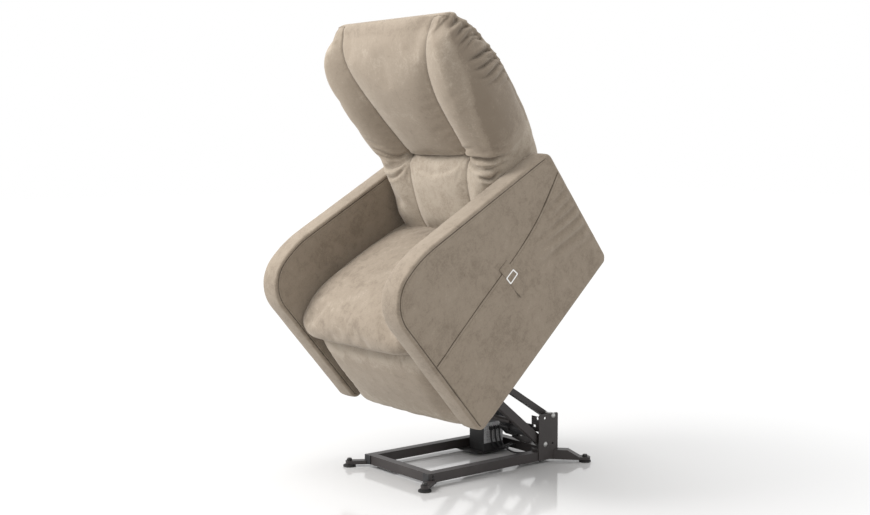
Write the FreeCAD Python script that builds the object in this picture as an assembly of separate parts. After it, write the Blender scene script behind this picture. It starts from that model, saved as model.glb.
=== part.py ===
"""Lift recliner chair, lifted and tilted forward, on its steel base.

Millimetres, +Z up, the sitter faces -Y and +X is the sitter's left. The floor is Z = 0.
Chair pieces are drawn in the chair's own frame, level, with the bottom front corner of the
side panels at the origin, Y back and Z up, and are then tilted and lifted into place.
"""
import FreeCAD, Part
import math
import os

V = FreeCAD.Vector
os.makedirs("parts", exist_ok=True)

# Pose of the chair body on its lift
TILT = 43.2
CORNER_Y, CORNER_Z = -131.4, 197.6

# Base frame
RAIL = 30.0
RAIL_WALL = 2.0
BASE_HALF = 171.5
BASE_REAR = 348.5
RAIL_LENGTH = 525.5
BASE_FRONT = BASE_REAR - RAIL_LENGTH
RAIL_Z = 11.0
CAP_T, CAP_PLUG = 3.0, 12.0
SCREW_HEAD = 4.0
FOOT_PLATE = 3.0

# Posts that carry the lift links
POST_T = 3.0
POST_FRONT, POST_BACK = 289.0, 376.0
POST_TOP = 167.0
POST_INNER = BASE_HALF - 34.0
SLOT_LOW, SLOT_HIGH = 50.0, 110.0

# Lift links and their pivots (Y, Z) on the posts
PIVOT_UPPER = (354.5, 158.0)
PIVOT_LOWER = (319.5, 63.5)
LOWER_LENGTH, LOWER_ANGLE = 501.0, 39.5
UPPER_LENGTH, UPPER_ANGLE = 500.0, 32.4
LINK_WIDTH = 22.0
LINK_WALL = 2.0
LOWER_DEPTH, UPPER_DEPTH = 28.0, 20.0
LOWER_X, UPPER_X = BASE_HALF - 28.5, BASE_HALF - 58.5
BOLT_R = 5.0
RUN_FIT = 0.05
OPEN_PIVOT = 7.0

# Lift actuator, rear pivot on the base and front pin in the chair frame
ACT_X = 30.0
ACT_REAR = (325.0, 75.0)
ACT_FRONT = (214.0, 112.0)
ACT_OPEN = 9.5
ACT_PIN_R = 6.0
ACT_EAR = 12.0
ACT_TUBE_R = 18.0
ACT_ROD_R = 10.0

# Recline actuator in the chair frame
REC_X = -80.0
REC_FRONT = (270.0, 155.0)
REC_REAR = (655.0, 165.0)
REC_PIN_R = 5.0
REC_OPEN = 8.5

# Carriage under the seat, chair frame
CARR_IN, CARR_OUT = 235.0, 260.0
CARR_FRONT, CARR_BACK = 90.0, 640.0
CARR_LOW, CARR_HIGH = 205.0, 235.0
CROSS_FRONT, CROSS_REAR = 225.0, 450.0
CROSS = 30.0
PLATE = 4.0
LIFT_PLATE_X = LOWER_X - 6.0

# Backrest hinge, chair frame
HINGE = (685.0, 262.0)
HINGE_PLATE = 5.0
TORQUE_R = 12.5

# Footrest links, chair frame
FOOT_A = (136.3, 217.2)
FOOT_K = (148.1, 35.0)
FOOT_B = (83.1, 189.4)
FOOT_LINK = 5.0
FOOT_GAP = 2.0
FOOT_LINK_R = 10.0
FOOT_PIN_R = 4.0

# Arms
ARM_IN, ARM_OUT = 287.0, 368.0
SKIN = 2.0
EDGE = 9.0
ARM_BOARD_IN, ARM_BOARD_T = (ARM_IN + ARM_OUT) / 2 - 8.0, 18.0
ARM_BOARD_INSET = 22.0
SOFT_GAP = 0.3

# Wooden frames
SEAT_HALF = 284.0
WOOD_W, WOOD_T = 40.0, 30.0
WEB_T = 2.0
BACK_RAKE = 13.4
BACK_FOOT = (755.0, 300.0)
BACK_T = 22.0
BACK_OUT, BACK_IN = 254.5, 200.0
BACK_LOW, BACK_HIGH = 12.0, 560.0
BACK_RUNG = 60.0

# Power box on its tray
BOX_X0, BOX_X1 = -115.0, -37.0
BOX_Y0, BOX_Y1 = 230.0, 315.0
BOX_TOP = 111.0
TRAY_T = 2.0
LEAD_D = 6.0
LEAD_Y = (295.0, 276.0, 256.0)

# Feet: arms pressed from sheet, and a rubber-faced pad under the end of each
PAD_H = 8.0
FRONT_PAD, FRONT_PAD_R = (BASE_HALF + 31.5, BASE_FRONT - 43.0), 21.0
REAR_PAD, REAR_PAD_R = (BASE_HALF + 71.5, BASE_REAR + 89.5), 20.0
FRONT_ARM_W, REAR_ARM_W = 26.0, 36.0
FRONT_ARM_TOP, REAR_ARM_TOP, REAR_ARM_LOW = 20.0, 40.0, 18.0
SHEET = 2.5

# Footrest panel, hanging down in front
FOOT_PANEL_BACK = 56.0
FOOT_BOARD_T = 12.0
FOOT_TOP_BACK = 94.0
FOOT_HALF = 272.0

# Arms: outline of the side (Y, Z) and its corner radii, and the seam of the lower side panel
ARM_OUTLINE = [(0, 0), (25.0, 545.7), (197.5, 567.5), (780.9, 433.9), (736.5, 0)]
ARM_RADII = [25.0, 123.4, 377.9, 25.0, 25.0]
SIDE_SEAM = [(-20, 286.5), (402, 296), (575, 350), (800, 361), (800, -20), (-20, -20)]
SIDE_SEAM_RADII = [0, 150, 150, 0, 0, 0]

# Strap and ring on the left side
STRAP_Y, STRAP_Z, STRAP_T = (396.0, 422.0), (262.0, 292.0), 1.2
RING_OUTER = [(387, 250), (431, 252), (427, 278), (387, 278)]
RING_INNER = [(391, 254), (426.5, 256), (423.3, 274), (391, 274)]
RING_T = 2.2

# Rear skirt, a hung sheet
SKIRT_Y, SKIRT_Z = (728.0, 734.0), (20.0, 175.0)

# Seat: wooden frame, webbing and cushion
SEAT_FRONT, SEAT_REAR = 110.0, 545.0
SEAT_STRAP, SEAT_STRAP_STEP = 50.0, 72.0
SEAT_STATIONS = (-285, -272, -225, -120, 0, 120, 225, 272, 285)
SEAT_SOFT_HALF = 285.0

# Side plates of the backrest, outline (Y, Z) from the hinge up the rear of the stile
BACK_PLATE_FOOT = [(-15, -19), (17, -19)]
BACK_PLATE_TOP = [(757.5, 306), (782, 422), (765, 426), (735.5, 312), (733.5, 299)]
BACK_PLATE_HEEL = (-17, 16)
BACK_PLATE_RADII = [10, 10, 8, 3, 3, 0, 0, 8]

# Height, bolster front, seam, middle panel front, rear, half width, seam X
BACK_ROWS = (
    (302, 540, 546, 540, 772, 266, 140),
    (345, 543, 556, 541, 788, 269, 141),
    (418, 572, 588, 567, 812, 271, 142),
    (480, 597, 640, 602, 836, 273, 144),
    (521, 606, 676, 668, 850, 274, 145),
    (560, 611, 674, 650, 862, 275, 148),
    (654, 614, 668, 646, 878, 276, 158),
    (735, 621, 674, 652, 892, 277, 170),
    (829, 629, 690, 668, 889, 276, 188),
    (891, 655, 708, 690, 872, 270, 190),
    (930, 703, 731, 724, 852, 256, 180),
    (950, 752, 770, 764, 836, 238, 178))


def save(name, solids):
    """Write one node: one solid, or a group of separate solids."""
    items = solids if isinstance(solids, (list, tuple)) else [solids]
    shape = items[0] if len(items) == 1 else Part.makeCompound(list(items))
    shape.exportStep("parts/" + name + ".step")


def box(x0, x1, y0, y1, z0, z1):
    return Part.makeBox(x1 - x0, y1 - y0, z1 - z0, V(x0, y0, z0))


def rod(x0, x1, centre, r):
    """Round bar along X between x0 and x1, at centre (Y, Z)."""
    return Part.makeCylinder(r, x1 - x0, V(x0, centre[0], centre[1]), V(1, 0, 0))


def upright(x, y, z0, z1, r):
    return Part.makeCylinder(r, z1 - z0, V(x, y, z0), V(0, 0, 1))


def corners(points, radii):
    """Closed outline in two coordinates with its corners rounded: lines and arcs."""
    n = len(points)
    marks = []
    for i in range(n):
        a, b, c = (V(*points[j % n], 0) for j in (i - 1, i, i + 1))
        r = radii[i] if isinstance(radii, (list, tuple)) else radii
        if r <= 0:
            marks.append((b, None, b))
            continue
        to_a, to_c = (a - b).normalize(), (c - b).normalize()
        half = to_a.getAngle(to_c) / 2
        reach = r / math.tan(half)
        middle = (to_a + to_c).normalize() * (r / math.sin(half) - r)
        marks.append((b + to_a * reach, b + middle, b + to_c * reach))
    return marks


def outline_face(points, radii, x):
    """Face in the plane X = x from (Y, Z) points with rounded corners."""
    lift = lambda p: V(x, p.x, p.y)
    marks = corners(points, radii)
    edges = []
    for i, (start, mid, end) in enumerate(marks):
        if mid is not None:
            edges.append(Part.Arc(lift(start), lift(mid), lift(end)).toShape())
        nxt = marks[(i + 1) % len(marks)][0]
        if (nxt - end).Length > 1e-4:
            edges.append(Part.LineSegment(lift(end), lift(nxt)).toShape())
    return Part.Face(Part.Wire(edges))


def plate(x0, x1, points, radii=0):
    """Plate across X with a (Y, Z) outline."""
    return outline_face(points, radii, x0).extrude(V(x1 - x0, 0, 0))


def mirror(shape):
    return shape.mirror(V(0, 0, 0), V(1, 0, 0))


def both(name, shape):
    """Write the left piece, at +X, and its mirror image as two nodes."""
    save(name + "_left", shape)
    save(name + "_right", mirror(shape))


def pair(shapes):
    """Each piece and its mirror image, as one group."""
    items = shapes if isinstance(shapes, (list, tuple)) else [shapes]
    return [side for item in items for side in (item, mirror(item))]


def chair(shape):
    """Bring a shape from the chair's own frame to its lifted place."""
    moved = shape.copy()
    moved.rotate(V(0, 0, 0), V(1, 0, 0), TILT)
    moved.translate(V(0, CORNER_Y, CORNER_Z))
    return moved


def chair_point(point):
    c, s = math.cos(math.radians(TILT)), math.sin(math.radians(TILT))
    return (CORNER_Y + c * point[0] - s * point[1], CORNER_Z + s * point[0] + c * point[1])


def along(shape, start, angle):
    """Lay a shape drawn from the origin along +Y from start, turned about X by angle."""
    moved = shape.copy()
    moved.rotate(V(0, 0, 0), V(1, 0, 0), angle)
    moved.translate(V(0, start[0], start[1]))
    return moved


def span(start, end):
    dy, dz = end[0] - start[0], end[1] - start[1]
    return math.hypot(dy, dz), math.degrees(math.atan2(dz, dy))


def tube_box(x0, x1, y0, y1, z0, z1, wall, axis):
    """Square tube with open ends along the named axis."""
    outer = box(x0, x1, y0, y1, z0, z1)
    w = wall
    if axis == "y":
        return outer.cut(box(x0 + w, x1 - w, y0, y1, z0 + w, z1 - w))
    return outer.cut(box(x0, x1, y0 + w, y1 - w, z0 + w, z1 - w))


def dome_bolt(x0, x1, centre, head_x, head_r, r):
    """Bolt along X with a dome head that starts at head_x, away from the middle."""
    shank = rod(x0, x1, centre, r)
    ball_r = head_r * 1.25
    sink = math.sqrt(ball_r ** 2 - head_r ** 2)
    ball = Part.makeSphere(ball_r, V(head_x - sink, centre[0], centre[1]))
    keep = rod(head_x, head_x + ball_r, centre, head_r)
    return shank.fuse(ball.common(keep)).removeSplitter()


def make_base():
    back = BASE_REAR
    top = RAIL_Z + RAIL
    inner = BASE_HALF - RAIL
    w = RAIL_WALL
    rail = tube_box(inner, BASE_HALF, BASE_FRONT, back, RAIL_Z, top, w, "y")
    front = tube_box(-inner, inner, BASE_FRONT, BASE_FRONT + RAIL, RAIL_Z, top, w, "x")
    rear = tube_box(-BASE_HALF, BASE_HALF, back, back + RAIL, RAIL_Z, top, w, "x")
    save("base_cross_tubes", [front, rear])
    # Plastic caps in the open front ends of the rails; the posts close the rear tube
    cap = box(inner, BASE_HALF, BASE_FRONT - CAP_T, BASE_FRONT, RAIL_Z, top).fuse(
        box(inner + w, BASE_HALF - w, BASE_FRONT, BASE_FRONT + CAP_PLUG, RAIL_Z + w, top - w))
    save("rail_end_caps", pair(cap))
    # Dome screws through the rails, where the front tube is fastened
    screws = []
    for z in (RAIL_Z + RAIL * 0.3, RAIL_Z + RAIL * 0.7):
        spot = (BASE_FRONT + RAIL / 2, z)
        screws.append(dome_bolt(BASE_HALF - w, BASE_HALF, spot, BASE_HALF, 5.0, 2.5))
        rail = rail.cut(rod(BASE_HALF - w, BASE_HALF, spot, 2.5))
    save("base_rails", pair(rail))
    return screws


def make_posts():
    """Upright posts: a web with a front flange, slotted for the lower link, and a rear flange."""
    top = RAIL_Z + RAIL
    x0, x1 = BASE_HALF, BASE_HALF + POST_T
    web = plate(x0, x1, [(POST_FRONT, RAIL_Z), (POST_BACK, RAIL_Z),
                         (POST_BACK, POST_TOP), (POST_FRONT, POST_TOP)], [0, 0, 6, 6])
    front_low = box(POST_INNER, x0, POST_FRONT, POST_FRONT + POST_T, top, SLOT_LOW)
    front_high = box(POST_INNER, x0, POST_FRONT, POST_FRONT + POST_T, SLOT_HIGH, POST_TOP - 6)
    rear = box(POST_INNER, x0, POST_BACK - POST_T, POST_BACK, top, POST_TOP - 6)
    post = web.fuse(front_low).fuse(front_high).fuse(rear)
    for spot in (PIVOT_UPPER, PIVOT_LOWER):
        post = post.cut(rod(x0 - 1, x1 + 1, spot, BOLT_R + RUN_FIT))
    for spot in ((POST_FRONT + 27.7, 153.4), (POST_BACK - 24.0, 63.3)):
        post = post.cut(rod(x0 - 1, x1 + 1, spot, 4.5))
    face_hole = Part.makeCylinder(5.5, POST_T + 2, V(165.7, POST_FRONT - 1, POST_TOP - 12), V(0, 1, 0))
    slot = box(POST_INNER + 8, POST_INNER + 20, POST_FRONT - 1, POST_FRONT + POST_T + 1, 124, 132)
    post = post.cut(slot).cut(face_hole)
    save("posts", pair(post.removeSplitter()))


def foot_arm_block(start, end, width, z0, z1):
    """Flat bar with round ends between two floor points."""
    dx, dy = end[0] - start[0], end[1] - start[1]
    length = math.hypot(dx, dy)
    bar = Part.makeBox(length, width, z1 - z0, V(0, -width / 2, z0))
    bar.rotate(V(0, 0, 0), V(0, 0, 1), math.degrees(math.atan2(dy, dx)))
    bar.translate(V(start[0], start[1], 0))
    ends = upright(start[0], start[1], z0, z1, width / 2).fuse(
        upright(end[0], end[1], z0, z1, width / 2))
    return bar.fuse(ends).removeSplitter()


def make_feet(screws):
    back = BASE_REAR
    under = (BASE_HALF - 12.0, BASE_FRONT + 22.0)
    strap = foot_arm_block(under, FRONT_PAD, FRONT_ARM_W, PAD_H, PAD_H + FOOT_PLATE)
    raised = foot_arm_block(under, FRONT_PAD, FRONT_ARM_W, PAD_H + FOOT_PLATE, FRONT_ARM_TOP)
    hollow = foot_arm_block(under, FRONT_PAD, FRONT_ARM_W - 2 * SHEET,
                            PAD_H + FOOT_PLATE, FRONT_ARM_TOP - SHEET)
    corner = box(0, BASE_HALF + SCREW_HEAD, BASE_FRONT - CAP_T - SOFT_GAP, 0, 0, 60)
    stub = upright(FRONT_PAD[0], FRONT_PAD[1], PAD_H + FOOT_PLATE, FRONT_ARM_TOP - SHEET, 9.0)
    raised = raised.cut(hollow).fuse(stub).cut(corner.cut(box(0, 400, -400, 0, -1, RAIL_Z)))
    front = strap.fuse(raised)
    front = front.cut(upright(FRONT_PAD[0], FRONT_PAD[1], 0, 60, BOLT_R))
    save("front_foot_arms", pair(front))
    # Pressed ramp from the rear corner out to its pad
    root = (BASE_HALF - 14.0, back + RAIL - 14.0)
    dx, dy = REAR_PAD[0] - root[0], REAR_PAD[1] - root[1]
    reach, turn = math.hypot(dx, dy), math.degrees(math.atan2(dy, dx))
    side = [(-20.0, PAD_H), (-20.0, REAR_ARM_TOP), (reach - 58, REAR_ARM_TOP),
            (reach - 18, REAR_ARM_LOW), (reach + 30, REAR_ARM_LOW), (reach + 30, PAD_H)]
    s = SHEET
    void = [(-30.0, -5.0), (-30.0, REAR_ARM_TOP - s), (reach - 59, REAR_ARM_TOP - s),
            (reach - 19, REAR_ARM_LOW - s), (reach + 30, REAR_ARM_LOW - s), (reach + 30, -5.0)]
    ramp = plate(-REAR_ARM_W / 2, REAR_ARM_W / 2, side)
    hollow = plate(-REAR_ARM_W / 2 + s, REAR_ARM_W / 2 - s, void)
    for shape in (ramp, hollow):
        shape.rotate(V(0, 0, 0), V(0, 0, 1), turn - 90)
        shape.translate(V(root[0], root[1], 0))
    ramp = ramp.common(foot_arm_block(root, REAR_PAD, REAR_ARM_W, 0, 60))
    hollow = hollow.common(foot_arm_block(root, REAR_PAD, REAR_ARM_W - 2 * s, -10, 60))
    ramp = ramp.cut(hollow)
    stub = upright(REAR_PAD[0], REAR_PAD[1], PAD_H, REAR_ARM_LOW - s / 2, 9.0)
    tube = box(-300, BASE_HALF + POST_T, 0, back + RAIL, PAD_H + FOOT_PLATE, 100)
    lug = foot_arm_block(root, (root[0] + 20, root[1] + 15), REAR_ARM_W - s,
                         PAD_H, PAD_H + FOOT_PLATE)
    rear = ramp.cut(tube).fuse(stub).fuse(lug)
    rear = rear.cut(upright(REAR_PAD[0], REAR_PAD[1], 0, 60, BOLT_R))
    save("rear_foot_arms", pair(rear))
    # Rubber pads: a low cone with a round foot
    pads, bolts = [], []
    for spot, r, top in ((FRONT_PAD, FRONT_PAD_R, FRONT_ARM_TOP), (REAR_PAD, REAR_PAD_R, REAR_ARM_LOW)):
        pad = upright(spot[0], spot[1], 0, 5.0, r).fuse(
            Part.makeCone(r, r - 5.0, PAD_H - 5.0, V(spot[0], spot[1], 5.0)))
        pads.append(pad)
        bolt = upright(spot[0], spot[1], PAD_H, top, BOLT_R).fuse(
            upright(spot[0], spot[1], top, top + 2.0, 9.0))
        dome = Part.makeSphere(9.0, V(spot[0], spot[1], top + 2.0)).common(
            box(-400, 400, -400, 600, top + 2.0, top + 8.0))
        bolts.append(bolt.fuse(dome))
    save("foot_pads", pair(pads))
    save("base_bolts", pair(bolts + screws))


def make_links():
    """Two pairs of hollow links between the posts and the chair, with a bush in each end."""
    for name, start, length, angle, x0, depth in (
            ("lower_link", PIVOT_LOWER, LOWER_LENGTH, LOWER_ANGLE, LOWER_X, LOWER_DEPTH),
            ("upper_link", PIVOT_UPPER, UPPER_LENGTH, UPPER_ANGLE, UPPER_X, UPPER_DEPTH)):
        x1 = x0 + LINK_WIDTH
        half = depth / 2
        solid = plate(x0, x1, [(-half, -half), (length + half, -half), (length + half, half),
                               (-half, half)], half * 0.98)
        w = LINK_WALL
        inside = plate(x0 + w, x1 - w, [(half + 6, -half + w), (length - half - 6, -half + w),
                                        (length - half - 6, half - w), (half + 6, half - w)], 2.0)
        bush_r = BOLT_R + 3.0
        link = solid.cut(inside)
        bushes = []
        for y in (0.0, length):
            link = link.cut(rod(x0 - 1, x1 + 1, (y, 0), bush_r))
            ring = rod(x0, x1, (y, 0), bush_r).cut(rod(x0 - 1, x1 + 1, (y, 0), BOLT_R + RUN_FIT))
            bushes.append(along(ring, start, 180 - angle))
        save(name + "s", pair(along(link, start, 180 - angle)))
        save(name + "_bushes", pair(bushes))
    along_link = 158.0
    a = math.radians(LOWER_ANGLE)
    drop = LOWER_DEPTH / 2 - 3.0
    spot = (PIVOT_LOWER[0] - along_link * math.cos(a) - drop * math.sin(a),
            PIVOT_LOWER[1] + along_link * math.sin(a) - drop * math.cos(a))
    cross = rod(-LOWER_X, LOWER_X, spot, 9.0).cut(rod(-LOWER_X, LOWER_X, spot, 7.0))
    save("link_cross_tube", cross)
    # Pivot bolts through the posts, with a spacer up to each link
    bolts, nuts = [], []
    for spot, x0 in ((PIVOT_UPPER, UPPER_X), (PIVOT_LOWER, LOWER_X)):
        outer = BASE_HALF + POST_T
        bolts.append(dome_bolt(x0 - 8.0, outer, spot, outer, 9.0, BOLT_R))
        nut = rod(x0 - 8.0, x0 - 0.5, spot, 8.0).cut(rod(x0 - 9, x0, spot, BOLT_R))
        space = rod(x0 + LINK_WIDTH + 0.3, BASE_HALF, spot, 8.0).cut(
            rod(x0, BASE_HALF + 1, spot, BOLT_R))
        nuts += [nut, space]
    save("link_pivot_nuts", pair(nuts))
    # The same node holds the rear pin of the lift actuator
    ear = ACT_EAR
    pin = rod(ACT_X - ear - 6, ACT_X + ear + 6, ACT_REAR, ACT_PIN_R)
    pin = pin.fuse(rod(ACT_X - ear - 9, ACT_X - ear - 6, ACT_REAR, ACT_PIN_R + 3))
    save("base_pivot_pins", pair(bolts) + [pin])


def make_upper_pins():
    """Front pins of the upper links; they sit in wide holes of the lift plates."""
    a = math.radians(UPPER_ANGLE)
    spot = (PIVOT_UPPER[0] - UPPER_LENGTH * math.cos(a), PIVOT_UPPER[1] + UPPER_LENGTH * math.sin(a))
    pin = rod(UPPER_X - 6.0, LIFT_PLATE_X + PLATE + 1.0, spot, BOLT_R)
    pin = pin.fuse(rod(UPPER_X - 8.0, UPPER_X - 0.5, spot, 8.0))
    save("upper_front_pins", pair(pin))


def make_tray():
    """Power box with its perforated cover, on a sheet tray under the left rail."""
    tray = box(-BASE_HALF + 8, BOX_X1 + 2, BOX_Y0 - 35, BASE_REAR - 6,
               RAIL_Z - TRAY_T, RAIL_Z)
    save("motor_tray", tray)
    wall = 2.0
    split = RAIL_Z + 30.0
    shell = box(BOX_X0, BOX_X1, BOX_Y0, BOX_Y1, RAIL_Z, BOX_TOP)
    low = shell.common(box(-300, 0, 0, 400, RAIL_Z, split)).cut(
        box(BOX_X0 + wall, BOX_X1 - wall, BOX_Y0 + wall, BOX_Y1 - wall, RAIL_Z + wall, split))
    high = shell.common(box(-300, 0, 0, 400, split, BOX_TOP)).cut(
        box(BOX_X0 + wall, BOX_X1 - wall, BOX_Y0 + wall, BOX_Y1 - wall, split - 1, BOX_TOP - wall))
    inlet_y, inlet_z = BOX_Y1 - 30.0, RAIL_Z + 15.0
    low = low.cut(box(BOX_X0 - 1, BOX_X0 + wall + 1, inlet_y - 14, inlet_y + 14,
                      inlet_z - 9, inlet_z + 9))
    inlet = box(BOX_X0 - 2, BOX_X0 + 20, inlet_y - 14, inlet_y + 14, inlet_z - 9, inlet_z + 9)
    inlet = inlet.cut(box(BOX_X0 - 3, BOX_X0 + 16, inlet_y - 10, inlet_y + 10,
                          inlet_z - 6, inlet_z + 6))
    save("power_box_base", low)
    save("power_inlet", inlet)
    vents = [rod(BOX_X1 - wall - 1, BOX_X1 + 1, (BOX_Y0 + 14 + 9.5 * i, split + 12 + 9.0 * j), 1.8)
             for i in range(7) for j in range(6)]
    for vent in vents:
        high = high.cut(vent)
    save("power_box_cover", high)


def in_chair(point):
    """Chair-frame (Y, Z) of a point given in the world."""
    c, s = math.cos(math.radians(TILT)), math.sin(math.radians(TILT))
    dy, dz = point[0] - CORNER_Y, point[1] - CORNER_Z
    return (c * dy + s * dz, -s * dy + c * dz)


def bar_plate(x0, x1, a, b, r):
    """Plate with round ends from pivot a to pivot b."""
    length, angle = span(a, b)
    flat = plate(x0, x1, [(-r, -r), (length + r, -r), (length + r, r), (-r, r)], r * 0.98)
    return along(flat, a, angle)


def make_lift_actuator():
    """Electric actuator: gear housing, motor can, outer tube and rod with an oversize eye."""
    front = chair_point(ACT_FRONT)
    length, angle = span(ACT_REAR, front)
    x = ACT_X
    ear, body_half, body_h = ACT_EAR, 22.0, 24.0
    body_y0, body_y1, tube_end = 22.0, 75.0, 400.0
    housing = rod(x - ear, x + ear, (0, 0), 14.0).fuse(box(x - ear, x + ear, 0, body_y0, -14, 14))
    block = plate(x - body_half, x + body_half, [(body_y0, -body_h), (body_y1, -body_h),
                                                 (body_y1, body_h), (body_y0, body_h)], 8.0)
    housing = housing.fuse(block).cut(rod(x - 40, x + 40, (0, 0), ACT_PIN_R + RUN_FIT))
    motor = rod(x + body_half, x + body_half + 73.0, ((body_y0 + body_y1) / 2, 0), 22.0)
    save("lift_actuator_drive", [along(piece, ACT_REAR, angle)
                                 for piece in (housing.removeSplitter(), motor)])
    tube = Part.makeCylinder(ACT_TUBE_R, tube_end - body_y1, V(x, body_y1, 0), V(0, 1, 0))
    bore = Part.makeCylinder(ACT_ROD_R + RUN_FIT, tube_end, V(x, body_y1 + 5, 0), V(0, 1, 0))
    save("lift_actuator_tube", along(tube.cut(bore), ACT_REAR, angle))
    eye_r = ACT_PIN_R + ACT_OPEN + 5.0
    eye = rod(x - 8, x + 8, (length, 0), eye_r)
    stick = Part.makeCylinder(ACT_ROD_R, 220.0, V(x, length - 220.0, 0), V(0, 1, 0))
    piston = stick.fuse(eye).cut(rod(x - 20, x + 20, (length, 0), ACT_PIN_R + ACT_OPEN))
    save("lift_actuator_rod", along(piston, ACT_REAR, angle))
    # Bracket and pin on the rear tube
    back = BASE_REAR
    top = RAIL_Z + RAIL
    ay, az = ACT_REAR
    shape = [(back + 1.5, top), (back + RAIL - 2, top), (ay + 30, az + 5), (ay, az + 16),
             (ay - 14, az + 11), (ay - 12, az - 13)]
    cheeks = []
    for side in (-1, 1):
        x0 = x + side * (ear + 3.0) - PLATE / 2
        cheek = plate(x0, x0 + PLATE, shape, [0, 0, 6, 6, 6, 6])
        cheeks.append(cheek.cut(rod(x0 - 1, x0 + 6, ACT_REAR, ACT_PIN_R + RUN_FIT)))
    save("actuator_bracket", cheeks)


def make_recline_actuator():
    length, angle = span(REC_FRONT, REC_REAR)
    x = REC_X
    tube_r, rod_r, tube_end = 14.0, 8.0, 250.0
    housing = rod(x - 10, x + 10, (0, 0), 12.0).fuse(box(x - 10, x + 10, 0, 16, -12, 12))
    housing = housing.fuse(box(x - 18, x + 18, 16, 46, -18, 18))
    housing = housing.cut(rod(x - 20, x + 20, (0, 0), REC_PIN_R + RUN_FIT))
    motor = rod(x + 18, x + 78, (31, 0), 15.0)
    tube = Part.makeCylinder(tube_r, tube_end - 46, V(x, 46, 0), V(0, 1, 0))
    bore = Part.makeCylinder(rod_r + RUN_FIT, tube_end, V(x, 50, 0), V(0, 1, 0))
    save("recline_actuator_body", [chair(along(piece, REC_FRONT, angle))
                                   for piece in (housing, motor, tube.cut(bore))])
    eye = rod(x - 6, x + 6, (length, 0), REC_PIN_R + REC_OPEN + 4.0)
    stick = Part.makeCylinder(rod_r, 268.0, V(x, length - 268.0, 0), V(0, 1, 0))
    piston = stick.fuse(eye).cut(rod(x - 20, x + 20, (length, 0), REC_PIN_R + REC_OPEN))
    stick_flat = box(x - 30, x - 6, length - 16, length + 20, -20, 20)
    piston = piston.cut(stick_flat).cut(box(x + 6, x + 30, length - 16, length + 20, -20, 20))
    save("recline_actuator_rod", chair(along(piston, REC_FRONT, angle)))


def make_carriage():
    rail = tube_box(CARR_IN, CARR_OUT, CARR_FRONT, CARR_BACK, CARR_LOW, CARR_HIGH, RAIL_WALL, "y")
    rail = rail.cut(rod(CARR_IN - 1, CARR_OUT + 1, FOOT_A, FOOT_PIN_R + RUN_FIT))
    save("carriage_rails", pair(chair(rail)))
    save("carriage_cross_tubes", [
        chair(tube_box(-CARR_IN, CARR_IN, y, y + CROSS, CARR_LOW, CARR_HIGH, RAIL_WALL, "x"))
        for y in (CROSS_FRONT, CROSS_REAR)])
    # Lift plates under the front cross tube carry the front ends of the links
    a, b = math.radians(UPPER_ANGLE), math.radians(LOWER_ANGLE)
    upper = in_chair((PIVOT_UPPER[0] - UPPER_LENGTH * math.cos(a),
                      PIVOT_UPPER[1] + UPPER_LENGTH * math.sin(a)))
    lower = in_chair((PIVOT_LOWER[0] - LOWER_LENGTH * math.cos(b),
                      PIVOT_LOWER[1] + LOWER_LENGTH * math.sin(b)))
    x0 = LIFT_PLATE_X
    edge = [(CROSS_FRONT + 2, CARR_LOW), (CROSS_FRONT + CROSS, CARR_LOW),
            (upper[0] + 24, upper[1] - 5), (lower[0] + 13, lower[1] - 18),
            (lower[0] - 13, lower[1] - 15), (lower[0] - 15, lower[1] + 8),
            (upper[0] - 20, upper[1] + 14)]
    hanger = plate(x0, x0 + PLATE, edge, [0, 0, 8, 8, 8, 8, 8])
    hanger = hanger.cut(rod(x0 - 1, x0 + 6, upper, BOLT_R + OPEN_PIVOT))
    hanger = hanger.cut(rod(x0 - 1, x0 + 6, lower, BOLT_R + RUN_FIT))
    save("lift_plates", pair(chair(hanger)))
    end = LOWER_X + LINK_WIDTH
    pin = rod(x0 - 1, end + 2, lower, BOLT_R).fuse(rod(end + 0.5, end + 4, lower, 8.0))
    foot_pin = rod(CARR_IN - FOOT_GAP - FOOT_LINK - 1, CARR_OUT, FOOT_A, FOOT_PIN_R)
    pins = pair([chair(pin), chair(foot_pin)])
    cheeks = []
    # Clevis and pin of each actuator
    for x, spot, off, pin_r, r in ((ACT_X, ACT_FRONT, 12.5, ACT_PIN_R, 14.0),
                                   (REC_X, REC_FRONT, 13.0, REC_PIN_R, 12.0)):
        for side in (-1, 1):
            c0 = x + side * off - PLATE / 2
            foot = [(CROSS_FRONT + 1, CARR_LOW), (CROSS_FRONT + CROSS, CARR_LOW),
                    (spot[0] + r, spot[1] - r / 2), (spot[0], spot[1] - r), (spot[0] - r, spot[1])]
            cheek = plate(c0, c0 + PLATE, foot, [0, 0, 5, 5, 5])
            cheeks.append(chair(cheek.cut(rod(c0 - 1, c0 + 6, spot, pin_r + RUN_FIT))))
        reach = off + PLATE / 2
        pin = rod(x - reach - 1, x + reach + 1, spot, pin_r)
        pin = pin.fuse(rod(x - reach - 4, x - reach - 1, spot, pin_r + 3))
        pins.append(chair(pin))
    save("actuator_clevises", cheeks)
    save("carriage_pins", pins)
    blocks = []
    for y in (190.0, 500.0):
        block = chair(box(CARR_OUT, ARM_IN, y, y + 40, CARR_LOW, CARR_HIGH))
        blocks += [block, mirror(block)]
    save("arm_brackets", blocks)
    hy, hz = HINGE
    flank = plate(CARR_OUT, CARR_OUT + HINGE_PLATE,
                  [(550, CARR_LOW), (CARR_BACK, CARR_LOW), (hy + 25, hz - 20), (hy + 25, hz + 20),
                   (hy - 20, hz + 23), (550, CARR_HIGH - 2)], [0, 0, 8, 10, 12, 4])
    flank = flank.cut(rod(CARR_OUT - 1, CARR_OUT + 9, HINGE, BOLT_R + RUN_FIT))
    save("hinge_plates", pair(chair(flank)))


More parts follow.
